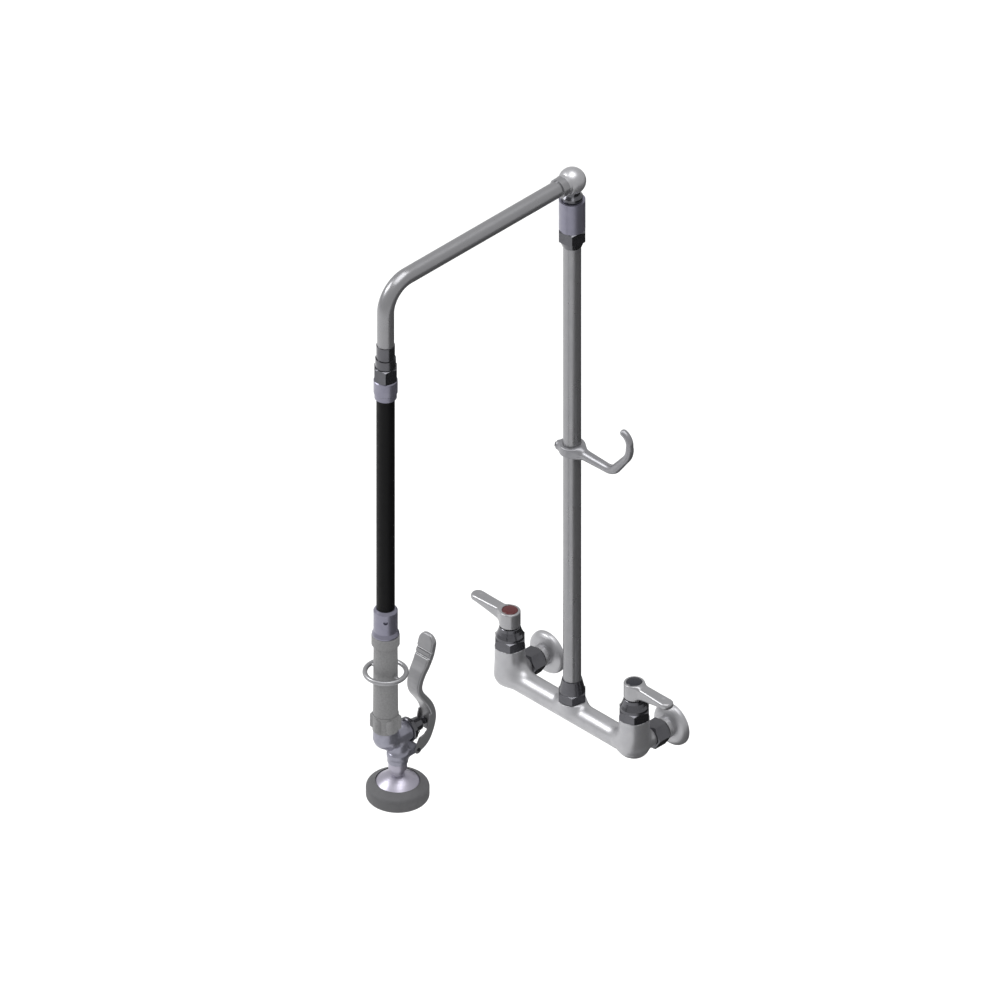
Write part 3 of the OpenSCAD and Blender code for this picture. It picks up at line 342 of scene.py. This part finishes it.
def cast(name, shape, low, high, step, origin=(0, 0, 0), smooth_angle=38):
    """Mesh of a distance shape: one point in each grid cell the surface crosses, pulled onto it."""
    axes = [np.arange(lo, hi + step, step) for lo, hi in zip(low, high)]
    dims = [len(a) for a in axes]
    grid = np.stack(np.meshgrid(*axes, indexing="ij"), axis=-1).reshape(-1, 3)
    values = shape(grid).reshape(dims)
    inside = values < 0
    corners = [(i, j, k) for i in (0, 1) for j in (0, 1) for k in (0, 1)]
    count = sum(corner_view(inside, *c).astype(int) for c in corners)
    crossed = (count > 0) & (count < 8)
    number = np.full(crossed.shape, -1)
    number[crossed] = np.arange(crossed.sum())
    total, weight = np.zeros(crossed.shape + (3,)), np.zeros(crossed.shape)
    for c in corners:
        for d in range(3):
            if c[d]:
                continue
            e = tuple(c[m] + (m == d) for m in range(3))
            v0, v1 = corner_view(values, *c), corner_view(values, *e)
            change = (v0 < 0) != (v1 < 0)
            t = np.where(change, v0 / np.where(change, v0 - v1, 1), 0)
            for m in range(3):
                total[..., m] += np.where(change, c[m] + (t if m == d else 0), 0)
            weight += change
    cells = np.argwhere(crossed)
    points = np.array(low) + step * (cells + total[crossed] / weight[crossed][:, None])
    for _ in range(PULLS):
        value = shape(points)
        probes = np.eye(3) * PROBE
        slope = np.stack([shape(points + h) - shape(points - h) for h in probes], axis=1) / (2 * PROBE)
        move = slope * (value / np.maximum((slope ** 2).sum(axis=1), LEAST_SLOPE))[:, None]
        points -= np.clip(move, -LONGEST_PULL * step, LONGEST_PULL * step)
    faces = []
    for d in range(3):
        m, n = (d + 1) % 3, (d + 2) % 3
        near = [slice(1, -1)] * 3
        near[d] = slice(0, -1)
        far = list(near)
        far[d] = slice(1, None)
        v0, v1 = inside[tuple(near)], inside[tuple(far)]
        for sign, at in ((1, np.argwhere(v0 & ~v1)), (-1, np.argwhere(~v0 & v1))):
            at = at + 1
            at[:, d] -= 1
            ring = []
            for du, dv in ((-1, -1), (0, -1), (0, 0), (-1, 0)):
                cell = at.copy()
                cell[:, m] += du
                cell[:, n] += dv
                ring.append(number[cell[:, 0], cell[:, 1], cell[:, 2]])
            faces.append(np.stack(ring[::sign], axis=1))
    mesh = bpy.data.meshes.new(name)
    placed = (points + np.array(origin, float)) * MM
    mesh.from_pydata(placed.tolist(), [], np.concatenate(faces).tolist())
    obj = bpy.data.objects.new(name, mesh)
    bpy.context.scene.collection.objects.link(obj)
    shade_smooth(mesh, smooth_angle)
    return obj


# ---- Mixing body, in millimetres from the middle of its cross tube ----

VALVE_X = 101.6
BODY_Y = -63.5
HOSE_Y = -368.5
VALVE_Z = 106.7
CROSS_TUBE_R = 14
POD_R = 17.9
POD_TOP = 41.0
POD_FLATNESS = (1, 1, 1.25)
POD_EASE = 1.1
POD_FILLET = 18
SHANK_R, SHANK_END = 12, 34
BOSS_R, BOSS_TOP = 16.6, 15
# From, to and radius: cartridge pocket, well under it, passage from the shank, shank bore
POD_BORES = (((0, 0, 0), (0, 0, 50), 12.2), ((0, 0, -12), (0, 0, 1), 6.5),
             ((0, 0, -6), (0, 16, -6), 5.4), ((0, 15, 0), (0, 40, 0), 7.5))
# Riser socket and the waterway that joins the pods
TUBE_BORES = (((0, 0, 6), (0, 0, 20), 10.45), ((-91, 0, 7), (91, 0, 7), 5.0))


def mixing_body_shape(p):
    d = cylinder(p, (-VALVE_X, 0, 0), (VALVE_X, 0, 0), CROSS_TUBE_R)
    for x in (-VALVE_X, VALVE_X):
        floor = ball(p * POD_FLATNESS, (x, 0, 0), POD_R) / POD_EASE
        pod = blend(floor, cylinder(p, (x, 0, 0), (x, 0, POD_TOP), POD_R, edge=0.9), 2)
        d = blend(d, pod, POD_FILLET * np.clip((p[:, 2] + 16) / 20, 0.25, 1))
        d = blend(d, cylinder(p, (x, 0, 0), (x, SHANK_END, 0), SHANK_R, edge=0.4), 5)
    d = blend(d, cylinder(p, (0, 0, 0), (0, 0, BOSS_TOP), BOSS_R, edge=0.8), 9)
    for x in (-VALVE_X, VALVE_X):
        for start, end, radius in POD_BORES:
            d = cut(d, cylinder(p, (x,) + start[1:], (x,) + end[1:], radius))
    for bore in TUBE_BORES:
        d = cut(d, cylinder(p, *bore))
    return d


mixing_body = cast("mixing_body_casting", mixing_body_shape, (-124, -23, -23), (124, 37, 44),
                   1.0, (0, BODY_Y, 0))


# ---- Lever handles ----

HUB_LOW, HUB_TOP, HUB_R = 69.5, 90.0, 12.4
HANDLE_REACH = 52.0
HANDLE_HALF_WIDTH, HANDLE_FLARE = 7.2, 1.3
HANDLE_TIP_DEPTH, HANDLE_ROOT_LIFT = 9.5, 2.5
HANDLE_EDGE = 3.2
THUMB_X, THUMB_LIFT, THUMB_R = 47.5, 5.2, 7.6
CAP_SEAT_R, CAP_SEAT_DEPTH = 9.45, 2.4
SCREW_WELL_R, SCREW_WELL_DEPTH = 5.0, 5.6
STEM_SOCKET_R = 5.05


def handle_shape(side):
    def shape(p):
        q = p * np.array([side, 1, 1])
        x, y, z = q.T
        hub = cylinder(q, (0, 0, HUB_LOW), (0, 0, HUB_TOP), HUB_R, HUB_R, 1.6)
        t = np.clip(x / HANDLE_REACH, 0, 1)
        plan = np.hypot(x - HANDLE_REACH * t, y) - (HANDLE_HALF_WIDTH + HANDLE_FLARE * t ** 1.5)
        top = HUB_TOP - 0.5 - 1.2 * t
        rise = HUB_TOP - HANDLE_TIP_DEPTH - HUB_LOW - HANDLE_ROOT_LIFT
        under = HUB_LOW + HANDLE_ROOT_LIFT + rise * np.clip((x - 8) / 42, 0, 1) ** 0.85
        slab = np.abs(z - (top + under) / 2) - (top - under) / 2
        d = blend(hub, round_corner(plan, slab, HANDLE_EDGE), 5)
        d = cut(d, ball(q, (THUMB_X, 0, HUB_TOP + THUMB_LIFT), THUMB_R), 1.2)
        d = cut(d, cylinder(q, (0, 0, HUB_TOP - CAP_SEAT_DEPTH), (0, 0, HUB_TOP + 5), CAP_SEAT_R))
        d = cut(d, cylinder(q, (0, 0, HUB_TOP - SCREW_WELL_DEPTH), (0, 0, HUB_TOP), SCREW_WELL_R))
        return cut(d, cylinder(q, (0, 0, HUB_LOW - 5), (0, 0, HUB_TOP - 4), STEM_SOCKET_R))
    return shape


handles = {}
for side, name in ((-1, "hot"), (1, "cold")):
    reach = sorted((side * -15.0, side * 62.5))
    handles[name] = cast(name + "_lever_handle", handle_shape(side), (reach[0], -15, 67),
                         (reach[1], 15, 92.5), 0.6, (side * VALVE_X, BODY_Y, 0))


# ---- Spray valve body, in millimetres from the middle of its barrel ----

BARREL_END = 34
ELBOW_Y, ELBOW_Z = 22.4, 5
LEG_Y = 19.8
PIN_Y, PIN_Z = 44, -28
LUG_HALF = 7.8
# Handle socket, waterway down, barrel, its inner end, bonnet socket, leg, outlet and pin hole
VALVE_BORES = (
    ((0, 0, 9), (0, 0, 30), 11.05), ((0, 0, 0), (0, 0, 20), 6), ((0, -6, 0), (0, 25, 0), 8),
    ((0, -9.5, 0), (0, 1, 0), 4.8), ((0, 24, 0), (0, 50, 0), 8.95),
    ((0, ELBOW_Y, ELBOW_Z), (0, LEG_Y, -28), 5.5), ((0, LEG_Y, -46), (0, LEG_Y, -27), 6),
    ((-9, PIN_Y, PIN_Z), (9, PIN_Y, PIN_Z), 2.05),
)


def valve_body_shape(p):
    d = blend(cylinder(p, (0, 0, 5), (0, 0, 19), 14.7, edge=0.5), ball(p, (0, 0, 7), 14.7), 1)
    d = blend(d, cylinder(p, (0, 0, 0), (0, BARREL_END, 0), 12, edge=0.6), 6)
    d = blend(d, ball(p, (0, ELBOW_Y, ELBOW_Z), 11.4), 2.5)
    d = blend(d, cylinder(p, (0, ELBOW_Y, ELBOW_Z), (0, LEG_Y, -28), 10.6), 4)
    d = blend(d, cylinder(p, (0, LEG_Y, -37), (0, LEG_Y, -24), 12.2, edge=0.6), 6)
    lug = blend(box(p, (-LUG_HALF, LEG_Y, -33), (LUG_HALF, PIN_Y, -23), 0.6),
                cylinder(p, (-LUG_HALF, PIN_Y, PIN_Z), (LUG_HALF, PIN_Y, PIN_Z), 5, edge=0.6), 1)
    d = blend(d, lug, 4)
    d = np.minimum(d, cylinder(p, (0, LEG_Y, -45), (0, LEG_Y, -36), 9))
    for bore in VALVE_BORES:
        d = cut(d, cylinder(p, *bore))
    return np.maximum(d, np.where(p[:, 2] > -20, p[:, 1] - BARREL_END, -99.0))


valve_body = cast("spray_valve_body", valve_body_shape, (-17, -17, -47), (17, 51, 21),
                  0.7, (0, HOSE_Y, VALVE_Z))


# ---- Squeeze lever ----

LEVER_LINE = [
    (44, -28, 9, 10), (52, -26.8, 8, 10), (60, -21, 8, 10), (66, -10, 8.2, 10), (69.2, 1, 8.4, 10),
    (69, 12, 8.4, 10), (64.5, 24.5, 8.4, 10), (57, 36, 8.2, 9.9), (50, 46.5, 7.8, 9.7), (47.6, 57, 7.8, 9.8),
    (51, 70, 8, 10.5), (59, 83, 8, 11.3), (65, 96, 8, 12), (68.5, 109, 7.4, 12), (69.6, 117.2, 6, 12),
]


def smooth_row(rows, steps):
    """Catmull-Rom curve through rows of numbers."""
    pts = [np.array(r, float) for r in rows]
    out = []
    for i in range(len(pts) - 1):
        a, b, c, d = pts[max(i - 1, 0)], pts[i], pts[i + 1], pts[min(i + 2, len(pts) - 1)]
        for s in range(steps):
            t = s / steps
            out.append(0.5 * (2 * b + (c - a) * t + (2 * a - 5 * b + 4 * c - d) * t * t
                              + (3 * b - a - 3 * c + d) * t ** 3))
    return out + [pts[-1]]


LEVER_CURVE = smooth_row(LEVER_LINE, 3)
LEVER_CHEEK = [(39.5, -26), (42, -20), (46, -13), (54, -11.5), (58.5, -8), (60.3, 1), (63, 12), (69, 12),
               (69, 0), (66, -11), (60, -22), (52, -29)]


CHEEK_IN, CHEEK_OUT = 8.1, 10
LEVER_EDGE = 1.9
PAD_Z, PAD_R = 108, 12
# Two grooves across the face nearer the grip: Y and Z of each
LEVER_GROOVES = ((62.8, 99.5), (60.2, 92.5))
GROOVE_R = 1.5


def outline_distance(y, z, corners):
    """Signed distance in the YZ plane to a closed outline of straight edges."""
    best, inside = np.full(len(y), FAR), np.zeros(len(y), bool)
    for (ay, az), (by, bz) in zip(corners, corners[1:] + corners[:1]):
        ey, ez = by - ay, bz - az
        t = np.clip(((y - ay) * ey + (z - az) * ez) / (ey * ey + ez * ez), 0, 1)
        best = np.minimum(best, np.hypot(y - ay - t * ey, z - az - t * ez))
        inside ^= ((az > z) != (bz > z)) & (y < ay + ey * (z - az) / (ez if ez else 1e-9))
    return np.where(inside, -best, best)


def squeeze_lever_shape(p):
    flat = p * np.array([0.0, 1, 1])
    best, half_width = np.full(len(p), FAR), np.zeros(len(p))
    for a, b in zip(LEVER_CURVE, LEVER_CURVE[1:]):
        start, run = np.array([0, a[0], a[1]]), np.array([0, b[0] - a[0], b[1] - a[1]])
        t = np.clip((flat - start) @ run / (run @ run), 0, 1)
        d = np.linalg.norm(flat - start - t[:, None] * run, axis=1) - (a[2] + (b[2] - a[2]) * t) / 2
        half_width = np.where(d < best, a[3] + (b[3] - a[3]) * t, half_width)
        best = np.minimum(best, d)
    x, y, z = p.T
    wide = np.where(z > PAD_Z, np.hypot(x, z - PAD_Z) - PAD_R, np.abs(x) - half_width)
    d = round_corner(best, wide, LEVER_EDGE)
    eyes = [cylinder(p, (low, PIN_Y, PIN_Z), (high, PIN_Y, PIN_Z), 5.5)
            for low, high in ((-CHEEK_OUT, -CHEEK_IN), (CHEEK_IN, CHEEK_OUT))]
    side = np.maximum(outline_distance(y, z, LEVER_CHEEK), np.abs(x) - CHEEK_OUT)
    side = np.maximum(side, CHEEK_IN - np.abs(x))
    d = np.minimum(np.minimum(d, np.minimum(*eyes)), side)
    d = cut(d, box(p, (-CHEEK_IN, 0, -50), (CHEEK_IN, 100, -10)))
    d = cut(d, cylinder(p, (-12, PIN_Y, PIN_Z), (12, PIN_Y, PIN_Z), 2.1))
    for groove_y, groove_z in LEVER_GROOVES:
        d = cut(d, cylinder(p, (-15, groove_y, groove_z), (15, groove_y, groove_z), GROOVE_R), 0.5)
    return d


squeeze_lever = cast("squeeze_lever_forging", squeeze_lever_shape, (-14, 36, -36), (14, 76, 123), 0.7,
                     (0, HOSE_Y, VALVE_Z))


# ---- Finger hook ----

HOOK_Z = 371.0
COLLAR_R, COLLAR_HALF, COLLAR_BORE_R = 15.3, 6, 10.75
SCREW_TURN = math.radians(205)
HOOK_RUNS = [(57, 0, 7.2, 5.6), (20, 52, 5.7, 5.7), (26, 0, 5.6, 4.7), (26, 38, 4.8, 4.8),
             (6, 0, 4.7, 4.3), (13, 75, 4.4, 4.4)]


def hook_line():
    """Points and radii along the rod, heading along +X and bending upwards."""
    place, heading = np.zeros(3), 0.0
    points, radii = [place.copy()], [HOOK_RUNS[0][2]]
    for size, turn, r0, r1 in HOOK_RUNS:
        steps = max(4, round(turn / 5))
        for k in range(steps):
            if turn:
                half = math.radians(turn / steps / 2)
                heading += half
                length = 2 * size * math.sin(half)
            else:
                length = size / steps
            place = place + length * np.array([math.cos(heading), 0, math.sin(heading)])
            if turn:
                heading += half
            points.append(place.copy())
            radii.append(r0 + (r1 - r0) * (k + 1) / steps)
    return points, radii


HOOK_POINTS, HOOK_RADII = hook_line()


def finger_hook_shape(p):
    d = cylinder(p, (0, 0, -COLLAR_HALF), (0, 0, COLLAR_HALF), COLLAR_R, edge=1.6)
    d = blend(d, rod(p, HOOK_POINTS, HOOK_RADII), 9)
    aim = np.array([math.cos(SCREW_TURN), math.sin(SCREW_TURN), 0])
    d = blend(d, cylinder(p, (0, 0, 0), aim * 19, 7.6, 5.4, 0.8), 4)
    d = cut(d, cylinder(p, aim * 5, aim * 25, 3.05))
    return cut(d, cylinder(p, (0, 0, -30), (0, 0, 30), COLLAR_BORE_R))


finger_hook = cast("finger_hook_forging", finger_hook_shape, (-21, -17, -9), (126, 17, 78),
                   0.8, (0, BODY_Y, HOOK_Z))


# ---- Return spring ----

COIL_STEPS = 48
WIRE_SIDES = 12
COIL_R = 3.7 * MM
COIL_WIRE_R = 0.45 * MM
COIL_TURNS = 4.5
SPRING_FOOT = Vector((0, HOSE_Y - 9.0, VALVE_Z)) * MM
SPRING_HEAD = Vector((0, HOSE_Y + 4.0, VALVE_Z)) * MM


def coil_group():
    """Node group that winds a round wire into a coil along Z."""
    tree = bpy.data.node_groups.new("wound_coil", "GeometryNodeTree")
    tree.interface.new_socket("Geometry", in_out="OUTPUT", socket_type="NodeSocketGeometry")
    for label in ("Coil Radius", "Wire Radius", "Length", "Turns"):
        tree.interface.new_socket(label, in_out="INPUT", socket_type="NodeSocketFloat")
    node = {kind: tree.nodes.new(kind) for kind in (
        "NodeGroupInput", "NodeGroupOutput", "GeometryNodeCurveSpiral", "GeometryNodeCurvePrimitiveCircle",
        "GeometryNodeCurveToMesh", "GeometryNodeRealizeInstances", "GeometryNodeSetMaterial")}
    given, spiral = node["NodeGroupInput"].outputs, node["GeometryNodeCurveSpiral"]
    wire, sweep = node["GeometryNodeCurvePrimitiveCircle"], node["GeometryNodeCurveToMesh"]
    spiral.inputs["Resolution"].default_value = COIL_STEPS
    wire.inputs["Resolution"].default_value = WIRE_SIDES
    sweep.inputs["Fill Caps"].default_value = True
    realize, paint = node["GeometryNodeRealizeInstances"], node["GeometryNodeSetMaterial"]
    for source, target in (
            (given["Coil Radius"], spiral.inputs["Start Radius"]),
            (given["Coil Radius"], spiral.inputs["End Radius"]),
            (given["Length"], spiral.inputs["Height"]),
            (given["Turns"], spiral.inputs["Rotations"]),
            (given["Wire Radius"], wire.inputs["Radius"]),
            (spiral.outputs["Curve"], sweep.inputs["Curve"]),
            (wire.outputs["Curve"], sweep.inputs["Profile Curve"]),
            (sweep.outputs["Mesh"], realize.inputs[0]),
            (realize.outputs[0], paint.inputs["Geometry"]),
            (paint.outputs["Geometry"], node["NodeGroupOutput"].inputs["Geometry"])):
        tree.links.new(source, target)
    return tree, paint


def wound_coil(name, material, place, **sizes):
    """Coil along +Y from a point, evaluated to a plain mesh."""
    tree, paint = coil_group()
    paint.inputs["Material"].default_value = material
    obj = bpy.data.objects.new(name, bpy.data.meshes.new(name))
    bpy.context.scene.collection.objects.link(obj)
    modifier = obj.modifiers.new("coil", "NODES")
    modifier.node_group = tree
    for item in tree.interface.items_tree:
        if item.in_out == "INPUT":
            modifier[item.identifier] = sizes[item.name.lower().replace(" ", "_")]
    bpy.context.view_layer.update()
    mesh = bpy.data.meshes.new_from_object(obj.evaluated_get(bpy.context.evaluated_depsgraph_get()))
    obj.modifiers.clear()
    obj.data = mesh
    mesh.transform(Matrix.Translation(place) @ Matrix.Rotation(math.radians(-90), 4, "X"))
    shade_smooth(mesh, 50)
    return obj


# ---- Materials ----

class Surface:
    """A material under construction: its node tree, shader and object coordinates."""

    def __init__(self, name, colour, metallic=0.0, roughness=0.4):
        self.material = bpy.data.materials.new(name)
        self.material.use_nodes = True
        self.tree = self.material.node_tree
        self.shader = self.tree.nodes["Principled BSDF"]
        self.shader.inputs["Base Color"].default_value = srgb(colour)
        self.shader.inputs["Metallic"].default_value = metallic
        self.shader.inputs["Roughness"].default_value = roughness
        self.coords = self.tree.nodes.new("ShaderNodeTexCoord").outputs["Object"]


def add(surface, kind, links=None, **settings):
    """Adds a node, sets its values and plugs in what feeds it."""
    node = surface.tree.nodes.new(kind)
    for key, value in settings.items():
        if hasattr(node, key):
            setattr(node, key, value)
        else:
            node.inputs[key].default_value = value
    for socket, source in (links or {}).items():
        surface.tree.links.new(source, node.inputs[socket])
    return node


def per_mm(size):
    """Texture scale whose features are about size millimetres."""
    return 1 / (size * MM)


def finish(name, colour, other, metallic, rough, patch, grain, depth, stretch=(1, 1, 1)):
    """A surface with two close colours in patches, uneven gloss and a fine grain in relief.

    rough is the range of roughness; patch and grain are sizes in millimetres; depth is the relief in
    millimetres; stretch is how much finer the grain is along each axis.
    """
    s = Surface(name, colour, metallic, rough[0])
    link = s.tree.links.new
    spots = add(s, "ShaderNodeTexNoise", {"Vector": s.coords}, Scale=per_mm(patch), Detail=4.0, Roughness=0.6)
    tone = add(s, "ShaderNodeMix", data_type="RGBA")
    link(spots.outputs["Fac"], tone.inputs[0])
    tone.inputs[6].default_value, tone.inputs[7].default_value = srgb(colour), srgb(other)
    link(tone.outputs[2], s.shader.inputs["Base Color"])
    gloss = add(s, "ShaderNodeMapRange", {"Value": spots.outputs["Fac"]}, **{
        "From Min": 0.3, "From Max": 0.7, "To Min": rough[0], "To Max": rough[1]})
    link(gloss.outputs["Result"], s.shader.inputs["Roughness"])
    lay = add(s, "ShaderNodeMapping", {"Vector": s.coords}, Scale=stretch)
    fine = add(s, "ShaderNodeTexNoise", {"Vector": lay.outputs["Vector"]}, Scale=per_mm(grain), Detail=3.0)
    relief = add(s, "ShaderNodeBump", {"Height": fine.outputs["Fac"]}, Strength=1.0, Distance=depth * MM)
    link(relief.outputs["Normal"], s.shader.inputs["Normal"])
    return s.material


# How much finer the grain is along X, Y and Z: drawn tube, and rings from a lathe
DRAWN_GRAIN = (1, 1, 0.06)
LATHE_GRAIN = (0.1, 0.1, 2)

FINISHES = {
    # Polished chrome over a sand casting: soft waves under the shine
    "chrome_cast": finish("chrome_plated_casting", "#ACACAE", "#9C9CA0", 0.75, (0.34, 0.44), 14, 2.2, 0.012),
    # Satin chrome tube: long draw marks that spread the highlight round the tube
    "chrome_tube": finish("satin_chrome_tube", "#8C8C8E", "#848487", 0.75, (0.26, 0.34), 18, 0.8, 0.006,
                          DRAWN_GRAIN),
    # Turned chrome: fine rings from the lathe; the dark base colour is a painted dark reflection, not the
    # plating's own tone
    "chrome_turned": finish("dark_turned_chrome", "#606064", "#505054", 0.9, (0.14, 0.24), 10, 0.5, 0.006,
                            LATHE_GRAIN),
    # Chrome handles: brightest pieces, slightly wavy
    "chrome_handle": finish("chrome_plated_handle", "#9C9C9E", "#8E8E91", 0.75, (0.28, 0.36), 12, 2.0, 0.012),
    # Sleeve with a cooler, bluish plating
    "chrome_sleeve": finish("cool_chrome_sleeve", "#83828F", "#757483", 0.75, (0.28, 0.36), 10, 0.6, 0.006,
                            LATHE_GRAIN),
    # Spray head: plated dome with a lavender cast
    "chrome_head": finish("chrome_spray_dome", "#A7A4B0", "#9A97A4", 0.75, (0.30, 0.38), 12, 1.2, 0.008),
    # Forged lever, tumbled before plating: even soft grey
    "lever_metal": finish("tumbled_chrome_lever", "#8F8F91", "#848487", 0.65, (0.34, 0.42), 9, 1.0, 0.012),
    # Hook: plated forging, slightly darker than the handles
    "hook_metal": finish("chrome_plated_hook", "#8A8A8D", "#7F7F83", 0.7, (0.32, 0.40), 12, 1.4, 0.010),
    # Nuts and bonnets: base colour darkened as a painted dark reflection, with patchy gloss and a fine grain
    # in relief
    "steel_small": finish("dark_plated_nut", "#4A4A4E", "#3A3A3E", 0.8, (0.26, 0.38), 5, 0.7, 0.012),
    # Bent wire: satin with length marks
    "ring_wire": finish("satin_steel_wire", "#98989A", "#88888B", 0.75, (0.32, 0.42), 6, 0.6, 0.008),
    # Raw brass inside the valves: warm yellow, machined
    "brass": finish("machined_brass", "#B58E4A", "#A57F40", 1.0, (0.28, 0.40), 8, 0.5, 0.006, LATHE_GRAIN),
    # Fired alumina discs: chalky white
    "ceramic": finish("fired_ceramic", "#E6E2D6", "#DAD5C8", 0.0, (0.25, 0.35), 4, 0.4, 0.004),
    # Nylon bearing and seat: milky, soft sheen
    "nylon": finish("milky_nylon", "#DCD6C4", "#CFC8B4", 0.0, (0.40, 0.50), 6, 0.6, 0.008),
    # Seals: matt black with moulding bloom
    "seal_rubber": finish("matt_seal_rubber", "#161616", "#222222", 0.0, (0.55, 0.70), 3, 0.3, 0.010),
    # Hose cover: black rubber, faint cloth grain
    "hose_rubber": finish("black_hose_cover", "#030304", "#08080A", 0.0, (0.45, 0.60), 9, 0.5, 0.030),
    # Grip: grey moulded plastic with a pebbled skin
    "grip_plastic": finish("pebbled_grip_plastic", "#838384", "#656566", 0.0, (0.45, 0.60), 2.2, 0.9, 0.060),
    # Bumper: dark grey rubber with dusty patches
    "bumper_rubber": finish("dusty_bumper_rubber", "#4A4A4C", "#606062", 0.0, (0.55, 0.70), 10, 0.6, 0.030),
    # Hot index: deep red moulded plastic
    "hot_plastic": finish("red_index_plastic", "#4E0A10", "#3E070C", 0.0, (0.25, 0.35), 4, 0.5, 0.006),
    # Cold index: navy so dark it is nearly black
    "cold_plastic": finish("navy_index_plastic", "#0A0D1C", "#070914", 0.0, (0.25, 0.35), 4, 0.5, 0.006),
}

# Rubber shines less than plastic, so the hose and bumper stay deep
for slot, shine in (("hose_rubber", 0.12), ("bumper_rubber", 0.3), ("seal_rubber", 0.3)):
    FINISHES[slot].node_tree.nodes["Principled BSDF"].inputs["Specular IOR Level"].default_value = shine
# Spray valve casting: the same plating over a rougher, cooler casting
VALVE_FINISH = finish("cool_plated_valve_casting", "#94949F", "#7E7E8A", 0.75, (0.30, 0.40), 9, 1.6, 0.014)

slot_of = {s["node"]: s["material_slot"] for s in frame["record"]["subparts"]}
hose.data.materials.append(FINISHES["hose_rubber"])
put_on(mixing_body, FINISHES["chrome_cast"], "fixed", "chrome_cast", "mixing_body")
for name, handle in handles.items():
    put_on(handle, FINISHES["chrome_handle"], name + "_valve", "chrome_handle", name + "_handle")
put_on(valve_body, VALVE_FINISH, "spray", slot_of["valve_body"], "valve_body")
put_on(squeeze_lever, FINISHES["lever_metal"], "lever", "lever_metal", "squeeze_lever")
put_on(finger_hook, FINISHES["hook_metal"], "hook", "hook_metal", "finger_hook")
spring = wound_coil("return_spring", FINISHES["steel_small"], SPRING_FOOT, coil_radius=COIL_R,
                    wire_radius=COIL_WIRE_R, length=(SPRING_HEAD - SPRING_FOOT).length,
                    turns=COIL_TURNS)
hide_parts("valve_spring")
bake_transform(spring)
for node_name, node in frame["nodes"].items():
    node.data.materials.clear()
    finish_name = "chrome_tube" if node_name == "arm_collar" else slot_of[node_name]
    node.data.materials.append(FINISHES[finish_name])
